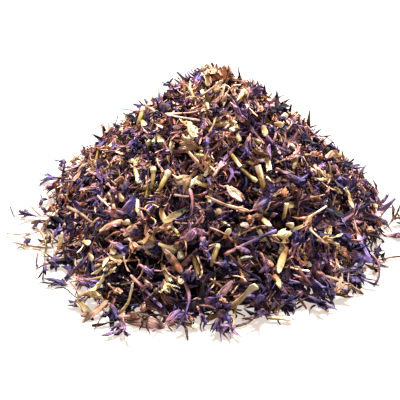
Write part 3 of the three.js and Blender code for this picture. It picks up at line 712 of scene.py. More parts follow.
STRAW_BY_HAND = (
    (strand, 42.4, -24.7, -40, 10, 0.4, 1),
    (strand, 49.4, -23.3, -15, 10.5, 0.6, 1),
    (star, 46.6, -24.7, 20, 7.7, 0.5, 0.9),
    (cup, 1.1, 54.8, 95, 4.5, 0.35, 0.55),
    (cup, 4.2, 54.4, 80, 4.9, 0.22, 0.5),
    (thread, 8.8, 56.9, 40, 4.2, 0.45, 0.9),
    (thread, 2.5, 56.5, 30, 2.8, 0.1, 0.3),
    (cup, -4.9, 50.2, -45, 4.9, 0.25, 0.9),
    (strand, 1.8, 47.1, 2, 11.5, 0.6, 1.1),
    (strand, -1.4, 45.7, 25, 5.2, 0.5, 1),
    (strand, -5.6, 40.4, 5, 10.1, 0.62, 1.15),
    (strand, -5.2, 39, -3, 8.8, 0.68, 1.15),
    (strand, -14.3, 47.4, 60, 4.2, 0.6, 1.1),
    (cup, -13.3, 36.2, -5, 7, 0.2, 0.8),
    (strand, 4.9, 37.6, 52, 8, 0.5, 1),
    (cup, 19.6, 41.1, 30, 4.2, 0.45, 1),
    (strand, 9.8, 45, -30, 4.9, 0.45, 0.9),
    (chip, -32.5, 35.5, 30, 3.8, 0.5, 1.1),
    (cup, -30.4, 22.6, 0, 3.8, 0.25, 0.95),
    (star, -31.1, 26.4, -45, 4.9, 0.4, 0.95),
    (strand, -36.7, 13.8, 22, 7, 0.55, 0.95),
    (star, -44.8, 11.7, 0, 8.4, 0.5, 1.05),
    (strand, -48.3, 11.4, 180, 6.3, 0.5, 1),
    (chip, -28, 16.3, 10, 3.1, 0.45, 0.9),
    (strand, 30.5, 36.2, 35, 4.9, 0.65, 1.1),
    (cup, 38.2, 26.1, -15, 5.6, 0.3, 0.95),
    (chip, 45.2, 25.4, 10, 4.2, 0.6, 1.1),
    (strand, 27.7, 23.6, 25, 5.2, 0.25, 0.9),
    (strand, 34.3, 20.1, -90, 3.8, 0.5, 0.95),
    (strand, 43.4, 15.2, -60, 4.5, 0.66, 1.15),
    (strand, 44.1, 16.6, 70, 3.1, 0.66, 1.15),
    (cup, 28, 11.4, 20, 5.2, 0.25, 0.8),
    (strand, 37.5, 11.4, 10, 6.3, 0.3, 0.85),
    (star, -61.6, 4.4, -10, 3.8, 0.5, 1.05),
    (strand, -57.7, 5.4, -50, 4.5, 0.66, 1.15),
    (strand, -63.3, -3, -8, 8.4, 0.5, 0.95),
    (star, -53.9, -2.3, 0, 4.5, 0.5, 1),
    (strand, -39.2, 3.7, -20, 11.9, 0.5, 0.9),
    (chip, -49, 4, 0, 2.1, 0.2, 0.5),
    (strand, -32.9, 8.2, -57, 8.8, 0.88, 1.1),
    (strand, -18.2, 5.8, 15, 3.5, 0.45, 0.9),
    (strand, -10.8, 8.9, 45, 6.3, 0.45, 0.9),
    (strand, -3.5, 10.7, -15, 8.8, 0.3, 0.85),
    (cup, -12.2, 0.5, 0, 5.6, 0.45, 0.9),
    (cup, -23.1, -6.5, -45, 4.9, 0.45, 0.85),
    (strand, -23.8, -10, 60, 2.8, 0.1, 0.7),
    (strand, -20.6, -11, -60, 3.1, 0.1, 0.7),
    (leaf, -30.4, 0.2, 30, 7.7, 0.42, 0.85),
    (chip, -24.1, -0.9, 35, 4.5, 0.6, 1.05),
    (strand, -29.7, -1.9, 30, 4.9, 0.5, 1),
    (strand, -25.5, -12.1, -95, 4.5, 0.55, 1),
    (strand, -21.3, -15.2, 22, 4.9, 0.5, 0.95),
    (chip, -18.2, -18.4, -50, 3.1, 0.85, 1.1),
    (leaf, -9.1, -10.7, -48, 8.8, 0.3, 0.6),
    (strand, -9.8, -14.5, -85, 4.2, 0.5, 0.95),
    (strand, 0.4, -13.5, -82, 7, 0.5, 0.95),
    (strand, -5.9, 0.9, -30, 4.9, 0.3, 0.6),
    (strand, -5.9, -7.5, -50, 3.8, 0.5, 0.9),
    (leaf, 10.9, 11.4, -65, 6.3, 0.8, 1.05),
    (leaf, 12.6, 12.1, -55, 5.6, 0.6, 1),
    (cup, 13, 5.8, -20, 5.6, 0.5, 1),
    (cup, 15.4, 3.7, -5, 4.2, 0.2, 0.85),
    (chip, 18.6, 4.4, 0, 3.5, 0.28, 0.45),
    (chip, 14.7, 0.9, 0, 2.4, 0.85, 1),
    (strand, 17.9, -0.9, 22, 7.7, 0.5, 1),
    (strand, 6.7, -2.6, -20, 7.7, 0.1, 0.7),
    (chip, 22.8, -12.4, -50, 2.8, 0.4, 0.9),
    (strand, 54.3, 6.8, -100, 5.2, 0.4, 0.85),
    (strand, 45.5, 8.2, 55, 3.8, 0.6, 1.05),
    (strand, 39.6, -1.9, -78, 9.8, 0.5, 0.95),
    (cup, 48, -7.5, -30, 5.9, 0.4, 0.8),
    (leaf, 61.6, -12.8, -5, 5.6, 0.86, 1.2),
    (cup, 54.3, -16.3, -10, 6.3, 0.35, 0.95),
    (strand, 27, -4.7, -42, 4.9, 0.15, 0.7),
    (leaf, 7, -20.8, 45, 8, 0.84, 1.1),
    (cup, 6.7, -24, -70, 4.2, 0.35, 0.8),
    (cup, -28.7, -21.5, -52, 5.6, 0.45, 0.85),
    (leaf, -36.7, -30.6, 22, 7.7, 0.4, 0.95),
    (chip, -40.2, -31.3, 0, 2.4, 0.5, 1),
    (leaf, -21.3, -31.3, -8, 14, 0.78, 1.7),
    (chip, -18.9, -27.1, -90, 2.8, 0.55, 1),
    (cup, -4.5, -32, 0, 4.2, 0.1, 0.8),
    (chip, -10.8, -34.8, 0, 2.1, 0.5, 0.95),
    (strand, 15.8, -32, 10, 9.8, 0.45, 0.8),
    (strand, 0, -34.1, -95, 3.1, 0.3, 0.9),
    (strand, -43.7, -25.7, -20, 5.2, 0.6, 1),
    (strand, -35.3, -25, -80, 5.6, 0.88, 0.95),
    (cup, 59.9, 4.4, -40, 4.9, 0.85, 1),
    (cup, 56.7, 0.5, -50, 4.5, 0.5, 1),
    (cup, 4.2, 54, -80, 8.5, 0.3, 1.2),
    (cup, 7.3, 52.8, 60, 6, 0.2, 1.0),
)
YELLOW_BY_HAND = (
    (leaf, -51.5, 0.5, 55, 8.8, 0.8, 1.3),
    (leaf, -48.6, -6.8, 66, 8.4, 0.25, 1.5),
    (cup, 5.3, 48.5, 0, 4.2, 0.6, 1.2),
    (strand, 9.1, 48.8, -20, 3.5, 0.9, 1.3),
    (cup, -2.8, 34.5, -58, 6.3, 0.75, 1.1),
    (chip, -4.2, 36.9, -20, 2.8, 0.8, 1.2),
    (chip, -19.2, 36.6, -60, 2.8, 0.4, 1.1),
    (strand, -17.1, 43.6, 65, 5.2, 0.8, 1.1),
    (chip, 21.4, 34.5, -65, 3.5, 0.6, 1.2),
    (chip, 26.3, 35.9, 0, 2.8, 0.6, 1.1),
    (chip, 33.6, 23.3, -60, 2.8, 0.5, 1.1),
    (chip, 2.8, 51.3, -85, 2.8, 0.8, 1.2),
    (chip, 48.3, 25.4, -30, 2.8, 0.6, 1.2),
    (chip, -26.2, 11, -80, 2.4, 0.6, 1),
    (leaf, -12.2, 4.4, -85, 4.9, 0.6, 1.1),
    (strand, -16.8, 2.6, -22, 4.5, 0.6, 1.1),
    (chip, -24.8, 1.9, 10, 2.1, 0.7, 1.1),
    (chip, -30.4, -7.9, -60, 2.4, 0.4, 1.1),
    (star, -31.8, -12.1, -5, 7.7, 0.6, 1.05),
    (strand, -32.5, -15.6, 15, 7.7, 0.4, 1),
    (thread, -27.6, -10.7, -50, 2.8, 0.8, 1.1),
    (star, -11.9, -20.5, -60, 5.2, 0.4, 1.1),
    (strand, -9.1, -19.4, 20, 3.5, 0.6, 1.1),
    (chip, 9.1, -1.6, 50, 3.1, 0.7, 1.1),
    (strand, 22.8, 6.1, 30, 3.8, 0.6, 1),
    (chip, 6.3, 6.8, 25, 2.1, 0.9, 1.2),
    (leaf, 21.4, 2.6, -45, 4.2, 0.6, 1.1),
    (cup, 27, -2.3, -10, 6.3, 0.4, 1),
    (star, 42.4, -3.7, 10, 7, 0.3, 1),
    (leaf, 27, -10.3, -112, 7.7, 0.4, 1),
    (strand, 30.8, -13.5, 10, 6.6, 0.6, 1.1),
    (chip, 26.3, -18.4, -60, 4.2, 0.5, 1),
    (chip, 30.5, 0.9, 0, 2.1, 1, 1),
    (chip, 51.1, 9.3, -80, 4.2, 0.6, 1.1),
    (chip, 43.4, -21.5, -90, 4.2, 0.6, 1),
    (star, -37.1, -24, 15, 7, 0.5, 1.1),
    (strand, -25.5, -24.7, 18, 9.1, 0.7, 1.1),
    (chip, -7, -18, -60, 2.4, 1, 1.2),
    (chip, 59.9, 7.5, -20, 2.1, 0.9, 1.2),
    (strand, 10.2, -31.3, 18, 15.4, 0.6, 1.15),
    (strand, 10.9, -31, -94, 9.8, 0.6, 1.15),
    (strand, -54.6, -7.5, -15, 8, 0.6, 1.1),
    (strand, -55.6, -8.9, -5, 7, 0.5, 1.1),
    (chip, -38.1, -5.1, -20, 2.4, 0.6, 1.1),
    (chip, -37.4, -10, -60, 2.4, 0.6, 1.1),
    (strand, -60.9, -8.2, 0, 4.9, 0.5, 1.1),
    (strand, -39.9, -5.8, -100, 4.9, 0.6, 1),
    (chip, -46.9, -10, 60, 3.1, 0.5, 1.1),
)
violet_by_hand = lay_by_hand("violet_by_hand", VIOLET_BY_HAND, 21)
straw_by_hand = lay_by_hand("straw_by_hand", STRAW_BY_HAND, 22)
yellow_by_hand = lay_by_hand("yellow_by_hand", YELLOW_BY_HAND, 23)


# %% [markdown]
# ## Pouring the heap
#
# The layers go from the inside out. Underneath lie dark florets in painted shade that close the view to the
# heart. Over them come the violet florets, shreds of torn petals and the straw-coloured strands, and last the
# few pieces that lie on top. The layers are thin enough to leave gaps, and a slow noise sinks them here and
# there into hollows. Next to a piece that lies by itself they are sunk too, so that it stays in view. The
# deeper a piece is sunk, the darker its painted shade.
#
# Round the foot the pieces lie flat and point out over the table, and a few have strayed from the heap.

# %% Leave room round the pieces that are seen by themselves
ROOM_REACH = 5.0  # mm
ROOM_DEPTH = 1.6  # mm


def middle_of(node):
    spots = [vert.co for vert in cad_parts[node].data.vertices]
    return sum(spots, Vector()) / len(spots) / MM


def depth_under_form(spot):
    """How far a point on the near side lies under the heap's form, in mm."""
    point, out, _ = min(NEAR_SEATS, key=lambda seat: (seat[0] - spot).length_squared)
    return (point - spot).dot(out)


LOOSE_NODES = [node for node in sorted(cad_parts) if node != "floret_heap"]
SEEN = [(middle_of(node), 0.0) for node in LOOSE_NODES]
SEEN = [(spot, max(0.0, depth_under_form(spot))) for spot, _ in SEEN if spot.dot(VIEW_AWAY) < 20]
print("depth of the loose pieces in mm:", [round(depth, 1) for _, depth in SEEN])
SEEN += [(seat_in_view(row[1], row[2])[0], 0.0) for row in VIOLET_BY_HAND + STRAW_BY_HAND + YELLOW_BY_HAND]
SEEN_TREE = kdtree.KDTree(len(SEEN))
for i, (spot, _) in enumerate(SEEN):
    SEEN_TREE.insert(spot, i)
SEEN_TREE.balance()


def room(point):
    """How much deeper a poured piece is sunk, so that it doesn't hide a piece near its seat."""
    # A piece sunk here also gets more painted shade, from the light left at its depth.
    _, i, distance = SEEN_TREE.find(point)
    return (ROOM_DEPTH + SEEN[i][1]) * max(0.0, 1 - distance / ROOM_REACH)


# %% Define how a layer is poured
DRIFT_HEIGHT = 0.35  # of the heap's height, where a drift changes nothing
# Painted light and shade: a piece's colour darkens with its depth and lightens towards the peak.
LIGHT_FALL = 2.0  # the power with which light is lost on the way down
SHADE_RISE = 1.5  # how much deeper the light reaches at the peak than at the foot
FOOT_LIGHT = 0.95
PEAK_LIGHT = 0.4  # what the peak has more than the foot


def painted_light_at(point, depth):
    """The light that is left for a piece at a depth under a point of the heap, painted into its colour as
    shade: less deeper down, and more towards the peak.
    """
    shade_depth = SHADE_DEPTH * (1 + SHADE_RISE * point.z / HEAP_HEIGHT)
    left = (1 - min(1.0, max(0.0, depth / shade_depth))) ** LIGHT_FALL
    return left * (FOOT_LIGHT + PEAK_LIGHT * point.z / HEAP_HEIGHT)


def pour(name, kinds, count, depths, tilts, seed, shares=(0.0, 0.92), drift=(0.0, 0.0, 0.0)):
    """Lays a number of copies between two shares of the heap's radius, as one piece. Drift is the way in
    which they get more common, seen from the heap's middle."""
    middle, drift = Vector((0, 0, HEAP_HEIGHT * DRIFT_HEIGHT)), Vector(drift)
    rng = random.Random(seed)
    bm = bmesh.new()
    laid = 0
    while laid < count:
        share = math.sqrt(rng.uniform(shares[0] ** 2, shares[1] ** 2))
        point, out, down = seat_on_heap(share, rng.uniform(-math.pi, math.pi))
        if rng.random() > 0.5 + drift.dot(point - middle) / FOOT_RADIUS / 2:
            continue
        laid += 1
        along = Matrix.Rotation(rng.uniform(-math.pi, math.pi), 3, out) @ down
        depth = rng.uniform(*depths) + hollow(point) + room(point)
        tilt, roll, size = rng.gauss(0, tilts), rng.uniform(-math.pi, math.pi), rng.uniform(0.75, 1.3)
        place = lying(point - out * depth, out, along, tilt, roll, size)
        # Painted shade: darker with depth, lighter towards the peak, and dimmer for a stray alone on the
        # table.
        light = painted_light_at(point, depth) * (OPEN_PAINTED_SHADE if share > 1 else 1.0)
        add_copy(bm, rng.choice(kinds), place, (rng.random(), rng.random(), light, 1.0))
    piece = piece_from(bm, name)
    print(name, "copies:", count, "triangles:", sum(len(face.vertices) - 2 for face in piece.data.polygons))
    return piece


# %% Pour the layers
VIOLET_KINDS = RAY_FLORETS + CLOSED_FLORETS
STRAW_KINDS = DISC_FLORETS + RIBBONS

deep_florets = pour("florets_deep", VIOLET_KINDS, 1500, (3.0, 6.0), 0.25, 1, (0.0, 0.96))
ray_florets = pour("florets_ray", RAY_FLORETS, 1100, (0.2, 3.4), 0.24, 2, drift=(0.3, -0.3, -0.5))
closed_florets = pour("florets_closed", CLOSED_FLORETS, 800, (0.4, 3.6), 0.27, 3, drift=(0.3, -0.3, -0.5))
disc_florets = pour("florets_disc", DISC_FLORETS, 950, (0.0, 3.4), 0.3, 4, drift=(-0.4, 0.3, 0.8))
rim_florets = pour("florets_rim", VIOLET_KINDS, 300, (-0.2, 2.0), 0.15, 10, (0.88, 1.0), (0.3, -0.3, 0))
rim_strands = pour("strands_rim", STRAW_KINDS, 220, (0.0, 1.9), 0.12, 11, (0.86, 1.0), (-0.4, 0, 0))
stray_strands = pour("strays", STRAW_KINDS + THREADS, 50, (0.0, 0.5), 0.1, 12, (0.98, 1.1), (-0.5, -0.5, 0))
stray_florets = pour("stray_florets", VIOLET_KINDS, 16, (0.0, 0.5), 0.1, 13, (1.0, 1.06), (-0.3, -0.6, 0))
petal_shreds = pour("petal_shreds", RIBBONS + THREADS, 1350, (0.0, 3.4), 0.3, 14, drift=(0.3, -0.3, -0.4))
straw_threads = pour("threads", THREADS, 1150, (-0.1, 3.4), 0.28, 5, drift=(-0.3, 0.2, 0.4))
straw_ribbons = pour("ribbons", RIBBONS, 700, (0.0, 3.4), 0.3, 6, drift=(-0.4, 0.3, 0.8))
pale_seeds = pour("seeds", SEEDS, 190, (-0.3, 2.2), 0.25, 7)
olive_bracts = pour("bracts", BRACTS, 160, (-0.1, 2.6), 0.3, 8)
loose_crumbs = pour("crumbs", CRUMBS, 1500, (0.3, 3.6), 0.6, 9, (0.0, 1.03))

# %% [markdown]
# ## Materials
#
# One small function adds a node with its settings and links. Colours are written as sRGB hex values, as a
# paint program shows them, and one function turns them into the linear values that the renderer needs.
# The other functions are steps that all the materials share. Each gives a node's output for the next one.

# %% Helpers for materials
def linear(hex_colour):
    """An sRGB hex colour as linear red, green, blue and alpha."""
    channels = [int(hex_colour[i : i + 2], 16) / 255 for i in (1, 3, 5)]
    return tuple(c / 12.92 if c <= 0.04045 else ((c + 0.055) / 1.055) ** 2.4 for c in channels) + (1.0,)


def new_material(name, **settings):
    """A material with its shader, whose constant sockets are set here."""
    material = bpy.data.materials.new(name)
    material.use_nodes = True
    shader = material.node_tree.nodes["Principled BSDF"]
    for socket, value in settings.items():
        shader.inputs[socket.replace("_", " ")].default_value = value
    return material, material.node_tree, shader


def add_node(tree, kind, settings=None, values=None, links=None):
    """Adds a node, sets its properties and inputs, and links other nodes' outputs to it."""
    node = tree.nodes.new(kind)
    for name, value in (settings or {}).items():
        setattr(node, name, value)
    for socket, value in (values or {}).items():
        node.inputs[socket].default_value = value
    for socket, output in (links or {}).items():
        tree.links.new(output, node.inputs[socket])
    return node


def ramp(tree, number, stops):
    """Turns a number into a colour. Each stop is a position and an sRGB hex colour."""
    node = add_node(tree, "ShaderNodeValToRGB", links={"Fac": number})
    elements = node.color_ramp.elements
    while len(elements) < len(stops):
        elements.new(0.5)
    for element, (position, colour) in zip(elements, stops):
        element.position = position
        element.color = linear(colour)
    return node.outputs["Color"]


def stretch(tree, number, **ends):
    """Maps a number from one range to another, with the ends at 0 and 1 where they aren't given."""
    values = {end.replace("_", " ").title(): value for end, value in ends.items()}
    return add_node(tree, "ShaderNodeMapRange", values=values, links={"Value": number}).outputs["Result"]


def blend(tree, share, below, above):
    """Covers a colour by another one. One of them is an output and the other an sRGB hex colour."""
    colours = {"A": below, "B": above}
    fixed = {socket: linear(colour) for socket, colour in colours.items() if isinstance(colour, str)}
    linked = {socket: colour for socket, colour in colours.items() if socket not in fixed}
    node = add_node(tree, "ShaderNodeMix", {"data_type": "RGBA"}, fixed, {"Factor": share, **linked})
    return node.outputs["Result"]


def multiply(tree, product, *numbers):
    for number in numbers:
        node = add_node(tree, "ShaderNodeMath", {"operation": "MULTIPLY"}, links={0: product, 1: number})
        product = node.outputs["Value"]
    return product


def read_piece(tree):
    """The tint of a piece (red for its hue, green for its lightness, blue for the painted shade of the light
    at its depth), and the mark of a corner (red for how far along it lies, green for how high it is raised,
    which places painted highlights on crests and painted shade in folds)."""
    split = []
    for name in ("tint", "petal"):
        links = {"Color": add_node(tree, "ShaderNodeAttribute", {"attribute_name": name}).outputs["Color"]}
        split.append(add_node(tree, "ShaderNodeSeparateColor", links=links).outputs)
    return split


def lengthwise_noise(tree, squeeze, **values):
    """Noise that is drawn out along the piece."""
    links = {"Vector": add_node(tree, "ShaderNodeUVMap", {"uv_map": "strand"}).outputs["UV"]}
    drawn_out = add_node(tree, "ShaderNodeMapping", values={"Scale": (squeeze, 1.0, 1.0)}, links=links)
    links = {"Vector": drawn_out.outputs["Vector"]}
    return add_node(tree, "ShaderNodeTexNoise", values=values, links=links).outputs["Fac"]


def noise_in_place(tree, **values):
    """Noise that runs on from piece to piece."""
    links = {"Vector": add_node(tree, "ShaderNodeTexCoord").outputs["Object"]}
    return add_node(tree, "ShaderNodeTexNoise", values=values, links=links).outputs["Fac"]


def dim(tree, colour, light):
    links = {"Vector": colour, "Scale": light}
    return add_node(tree, "ShaderNodeVectorMath", {"operation": "SCALE"}, links=links).outputs["Vector"]


def set_surface(tree, shader, colour, height, strength, distance):
    """Links the colour and the bumps to the shader. The distance is the bumps' height in mm."""
    tree.links.new(colour, shader.inputs["Base Color"])
    values = {"Strength": strength, "Distance": distance * MM}
    bump = add_node(tree, "ShaderNodeBump", values=values, links={"Height": height})
    tree.links.new(bump.outputs["Normal"], shader.inputs["Normal"])


# %% [markdown]
# ## Dried petal
#
# A dried petal is matt and papery, with fine veins along it. Its raised crests get a painted lavender
# highlight, its folds a painted near-black shade, and its tube fades to a dull pink or tan. No two are alike,
# so the tint picks the hue, the lightness and how far the piece has faded, and it carries the painted shade
# at the piece's depth.

# %% Make the petal materials
VEIN_WIDTH = 0.5  # mm, drawn coarser than real veins so that they show at this distance
BLOTCH = 1.5  # mm


def petal_material(name, hues, tube, painted_fold_shade, painted_crest_highlight, dimming, gloss):
    material, tree, shader = new_material(name, Roughness=0.58, Specular_IOR_Level=gloss)
    tint, mark = read_piece(tree)
    veins = lengthwise_noise(tree, 0.12, Scale=1 / VEIN_WIDTH, Detail=2.0, Roughness=0.6)
    blotches = noise_in_place(tree, Scale=1 / (BLOTCH * MM), Detail=2.0)
    # The tube's colour gives way to the petal's, painted shade darkens the folds and a painted highlight
    # lightens the crests
    open_part = stretch(tree, mark["Red"], from_min=0.12, from_max=0.55)
    colour = blend(tree, open_part, tube, ramp(tree, tint["Red"], hues))
    sunk = stretch(tree, mark["Green"], from_min=0.5, from_max=0.22, to_max=0.8)
    colour = blend(tree, sunk, colour, painted_fold_shade)
    raised = stretch(tree, mark["Green"], from_min=0.6, from_max=0.85, to_max=0.4)
    colour = blend(tree, raised, colour, painted_crest_highlight)
    # The lightness is the piece's own, times the veins, whose streaks also paint the light and shade of fine
    # folds, the blotches and the painted shade of the light at its depth
    lightness = stretch(tree, tint["Green"], to_min=dimming[0], to_max=dimming[1])
    vein_and_painted_fold_streaks = stretch(tree, veins, from_min=0.38, from_max=0.62, to_min=0.2, to_max=1.55)
    blotch_light = stretch(tree, blotches, from_min=0.3, from_max=0.7, to_min=0.7, to_max=1.1)
    light = multiply(tree, lightness, vein_and_painted_fold_streaks, blotch_light, tint["Blue"])
    set_surface(tree, shader, dim(tree, colour, light), veins, 0.9, 0.2)
    return material


# Gives the heap its colour: dark violet to mauve, with painted lavender highlights on the crests
violet_petal = petal_material(
    "dried violet petal",
    (
        (0.0, "#241a3e"),
        (0.3, "#352850"),
        (0.52, "#4e3e66"),
        (0.7, "#6c5070"),
        (0.86, "#98696a"),
        (1.0, "#ac7564"),
    ),
    tube="#b27a6c",
    painted_fold_shade="#120506",
    painted_crest_highlight="#8c80ac",
    dimming=(0.5, 1.5),
    gloss=0.08,
)
# Gives depth: darker and duller, for the closed florets, and as painted shade for what lies between and under
# the open florets
closed_and_painted_shade_petal = petal_material(
    "dried petal of a closed floret",
    ((0.0, "#1f1329"), (0.35, "#2e1f3c"), (0.6, "#4a3452"), (0.8, "#5f4050"), (1.0, "#744a3d")),
    tube="#87594b",
    painted_fold_shade="#0b0304",
    painted_crest_highlight="#75639c",
    dimming=(0.5, 1.5),
    gloss=0.02,
)
# Gives the warm lights between the violet: rust and tan to cream, some with a breath of violet
straw_strand = petal_material(
    "dried straw-coloured strand",
    (
        (0.0, "#96502f"),
        (0.22, "#c47b56"),
        (0.5, "#da9f7c"),
        (0.72, "#e2b999"),
        (0.88, "#c898a2"),
        (1.0, "#86658c"),
    ),
    tube="#ddb090",
    painted_fold_shade="#2a1008",
    painted_crest_highlight="#e6c8ac",
    dimming=(0.5, 0.98),
    gloss=0.1,
)
print("materials:", len(bpy.data.materials))

# %% [markdown]
# ## Seed shell and bract scale
#
# The seed's shell is smooth with a waxy gloss: olive at its foot, then yellow, and nearly white at the
# brush. The bracts are duller and streaked, some olive brown and some golden, and a few petals have paled to
# yellow.

# %% Make the seed and bract materials
def shell_material(name, stops, roughness, gloss, streak, dimming):
    """Its colour changes from the piece's foot to its tip, with streaks along it of a width in mm."""
    material, tree, shader = new_material(name, Roughness=roughness, Specular_IOR_Level=gloss)
    tint, mark = read_piece(tree)
    streaks = lengthwise_noise(tree, 0.15, Scale=1 / streak, Detail=3.0)
    links = {0: tint["Red"], 2: mark["Red"]}
    along = add_node(tree, "ShaderNodeMath", {"operation": "MULTIPLY_ADD"}, {1: 0.3}, links)
    colour = ramp(tree, along.outputs["Value"], stops)
    lightness = stretch(tree, tint["Green"], to_min=dimming[0], to_max=dimming[1])
    streak_light = stretch(tree, streaks, from_min=0.3, from_max=0.7, to_min=0.55, to_max=1.2)
    # Painted shade: the light left at the piece's depth darkens its colour.
    light = multiply(tree, lightness, streak_light, tint["Blue"])
    set_surface(tree, shader, dim(tree, colour, light), streaks, 0.5, 0.1)
    return material


# Gives the palest, smoothest spots of the heap, which are the first that the eye finds
seed_shell = shell_material(
    "seed shell",
    ((0.0, "#4a3518"), (0.35, "#80642e"), (0.65, "#b39450"), (0.9, "#dcc488"), (1.0, "#ecdcb2")),
    roughness=0.4,
    gloss=0.3,
    streak=0.3,
    dimming=(0.6, 1.0),
)
# Gives soft yellow flakes and stars, warmer and less glossy than the seeds
yellow_petal = shell_material(
    "pale yellow petal",
    ((0.0, "#7e5228"), (0.45, "#b68a52"), (0.85, "#dcc08c"), (1.0, "#eedcb4")),
    roughness=0.5,
    gloss=0.15,
    streak=0.4,
    dimming=(0.45, 0.95),
)
# Gives the larger golden-brown crumples that break up the fine strands
golden_scale = shell_material(
    "golden bract scale",
    ((0.0, "#452b18"), (0.4, "#7c5735"), (0.7, "#a88259"), (1.0, "#ccab84")),
    roughness=0.55,
    gloss=0.15,
    streak=0.4,
    dimming=(0.6, 1.1),
)
# Gives a few calm, dark leaves with a streaky back
bract_scale = shell_material(
    "bract scale",
    ((0.0, "#2f2410"), (0.4, "#4c3f22"), (0.7, "#6a5832"), (1.0, "#9c7f50")),
    roughness=0.55,
    gloss=0.15,
    streak=0.4,
    dimming=(0.6, 1.1),
)

# %% [markdown]
# ## Inside of the heap
#
# The heart's colour is painted shade for the inside of the heap: nearly black, with violet and brown flecks
# for the grain of petals crushed to bits.

# %% Make the heart's material
FLECK = 1.2  # mm


def heart_material():
    material, tree, shader = new_material("crushed petals in painted shade", Roughness=0.9, Specular_IOR_Level=0.0)
    flecks = noise_in_place(tree, Scale=1 / (FLECK * MM), Detail=4.0)
    colour = ramp(tree, flecks, ((0.35, "#0a0505"), (0.55, "#190e11"), (0.7, "#2c1a17")))
    set_surface(tree, shader, colour, flecks, 1.0, 0.5)
    return material


# Gives the dark gaps between the florets, as painted shade
crushed_petals_in_painted_shade = heart_material()

# %% Give the poured pieces their materials
FINISHES = (
    (heart, crushed_petals_in_painted_shade, "violet"),
    (deep_florets, closed_and_painted_shade_petal, "violet"),
    (ray_florets, violet_petal, "violet"),
    (closed_florets, closed_and_painted_shade_petal, "violet"),
    (rim_florets, violet_petal, "violet"),
    (rim_strands, straw_strand, "straw"),
    (petal_shreds, violet_petal, "violet"),
    (stray_florets, violet_petal, "violet"),
    (stray_strands, straw_strand, "straw"),
    (disc_florets, straw_strand, "straw"),
    (straw_threads, straw_strand, "straw"),
    (straw_ribbons, straw_strand, "straw"),
    (pale_seeds, seed_shell, "cream"),
    (olive_bracts, bract_scale, "olive"),
    (loose_crumbs, straw_strand, "straw"),
    (violet_by_hand, violet_petal, "violet"),
    (straw_by_hand, straw_strand, "straw"),
    (yellow_by_hand, yellow_petal, "cream"),
)
for piece, material, slot in FINISHES:
    piece.data.materials.clear()
    piece.data.materials.append(material)
    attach(piece, "root")
    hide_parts("floret_heap")

# %% [markdown]
# ## The loose pieces
#
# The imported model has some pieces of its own: seeds, bracts and threads on the heap, and florets round its
# foot. Each is seen by itself, so each is modelled once more with finer faces, and put exactly where its
# plain one lies. The plain one's long axis, its flat side and its wider end are read from its corners.
#
# Most bracts in the photo are crumpled golden cups and only a few are plain olive scales, so the packed
# model's bracts are dressed as one or the other.

# %% Helpers that dress the loose pieces
def lie_of(node, flat):
    """Where a plain piece lies: the matrix of its long axis and flat side, and its length in mm."""
    spots = np.array([vert.co for vert in node.data.vertices]) / MM
    spots = np.unique(spots.round(4), axis=0)
    _, _, axes = np.linalg.svd(spots - spots.mean(axis=0), full_matrices=False)
    along = Vector(axes[0])
    reach = (spots - spots.mean(axis=0)) @ axes.T
    widths = np.hypot(reach[:, 1], reach[:, 2])
    middle = (reach[:, 0].max() + reach[:, 0].min()) / 2
    if widths[reach[:, 0] > middle].mean() < widths[reach[:, 0] < middle].mean():
        along = -along
    out = Vector(axes[2]) if flat else Vector((0, 0, 1))
    out = out if out.z > 0 else -out
    side = out.cross(along).normalized()
    out = along.cross(side)
    centre = spots.mean(axis=0) + (reach.max(axis=0) + reach.min(axis=0)) / 2 @ axes
    place = Matrix((along, side, out)).transposed().to_4x4()
    return Matrix.Translation(Vector(centre) * MM) @ place, float(np.ptp(reach[:, 0]))


def dress(node, mesh, flat, seed):
    """Puts a fine piece where the plain one lies, as long as that one."""
    rng = random.Random(seed)
    place, length = lie_of(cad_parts[node], flat)
    low = Vector([min(vert.co[i] for vert in mesh.vertices) for i in range(3)])
    high = Vector([max(vert.co[i] for vert in mesh.vertices) for i in range(3)])
    size = length / (high.x - low.x)
    bm = bmesh.new()
    fit = place @ Matrix.Scale(size * MM, 4) @ Matrix.Translation(-(low + high) / 2)
    # Its tint: a random hue and lightness, and 0.8 as painted shade of the light at its depth.
    add_copy(bm, mesh, fit, (rng.random(), 0.7 * rng.random(), 0.8, 1.0))
    piece = piece_from(bm, "fine_" + node)
    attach(piece, "root")
    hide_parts(node)
    return piece


OLIVE_BRACTS = ("bract_on_heap_01", "bract_on_heap_03", "bract_at_foot_01")  # the others are golden cups

# A ray floret pressed flat, as those on the table are
foot_floret = fine_floret("ray_floret", (11, 14), (6, 7), 0.5, (0.9, 1.2), (1.4, 2.8), (0.3, 0.45), 0.6, 0.3)


def own_piece(node, seed):
    """One fine piece of the node's kind, with its material, its slot and whether it is flat."""
    rng = random.Random(seed)
    kind = node.split("_")[0]
    if kind == "seed":
        return seed_rod(rng, fine=True), seed_shell, "cream", False
    if node in OLIVE_BRACTS:
        return bract(rng, fine=True), bract_scale, "olive", True
    if kind == "bract":
        return cup(rng), golden_scale, "olive", True
    if kind == "thread":
        return thread(rng, fine=True), straw_strand, "straw", False
    return foot_floret(rng), violet_petal, "violet", True


# %% Dress the loose pieces
fine_pieces = []
for seed, node in enumerate(LOOSE_NODES):
    mesh, material, slot, flat = own_piece(node, 1000 + seed)
    piece = dress(node, mesh, flat, 2000 + seed)
    piece.data.materials.append(material)
    fine_pieces.append(piece)
print("fine pieces:", len(fine_pieces), "faces:", sum(len(piece.data.polygons) for piece in fine_pieces))

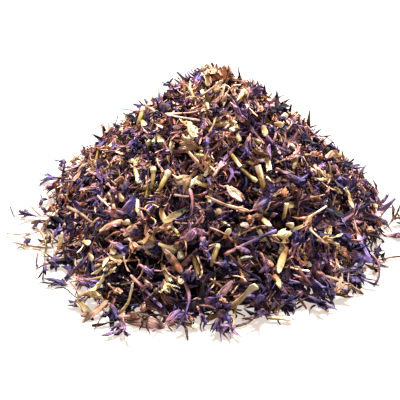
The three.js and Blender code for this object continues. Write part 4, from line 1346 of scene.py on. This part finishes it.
# %% [markdown]
# ## Table, light and camera
#
# The heap lies on a plain table. A white table in this much light would be far brighter than white and would
# eat away the edges of the thin pieces on it. So it is a mid grey that glows faintly by itself: together
# with the light it is only just white, and shadows hardly show on it.
#
# One lamp stands high up behind the heap and a little to the right, so that the front is full of small
# shadows. The warm light of the room fills them. The camera looks down on the heap by 27 degrees.

# %% Set the table
bm = bmesh.new()
bmesh.ops.create_grid(bm, x_segments=1, y_segments=1, size=4.0)
table = piece_from(bm, "table")
# Gives an even, shadowless white up to the heap's foot
white, _, shader = new_material("white table", Roughness=0.7, Emission_Strength=0.68)
shader.inputs["Base Color"].default_value = linear("#575450")
shader.inputs["Emission Color"].default_value = (1, 0.88, 0.79, 1)
table.data.materials.append(white)


# %% Set the light
def stand(thing, place, target):
    """Puts a lamp or a camera in its place and turns it to its target."""
    thing.location = place
    thing.rotation_euler = (target - thing.location).to_track_quat("-Z", "Y").to_euler()
    bpy.context.scene.collection.objects.link(thing)


lamp = bpy.data.lights.new("wide lamp", "AREA")
lamp.shape = "DISK"
lamp.size = 0.3
lamp.energy = 108.0
stand(bpy.data.objects.new("wide lamp", lamp), (0.06, 0.4, 1.12), Vector((0, 0, 0.02)))
world = bpy.data.worlds.new("white room")
world.use_nodes = True
world.node_tree.nodes["Background"].inputs["Color"].default_value = (1, 0.87, 0.89, 1)
world.node_tree.nodes["Background"].inputs["Strength"].default_value = 1.12
bpy.context.scene.world = world
bpy.context.scene.view_settings.view_transform = "Standard"

# %% Set the camera
PICTURE_WIDTH = 400  # pixels
FOCAL_PIXELS = 739
SENSOR_WIDTH = 36  # mm
AIM = Vector((-0.3, 0, 11.4)) * MM

camera_data = bpy.data.cameras.new("camera")
camera_data.sensor_width = SENSOR_WIDTH
camera_data.lens = FOCAL_PIXELS / PICTURE_WIDTH * SENSOR_WIDTH
camera_data.clip_start = 0.01
camera = bpy.data.objects.new("camera", camera_data)
stand(camera, -VIEW_AWAY * VIEW_DISTANCE * MM, AIM)
bpy.context.scene.camera = camera
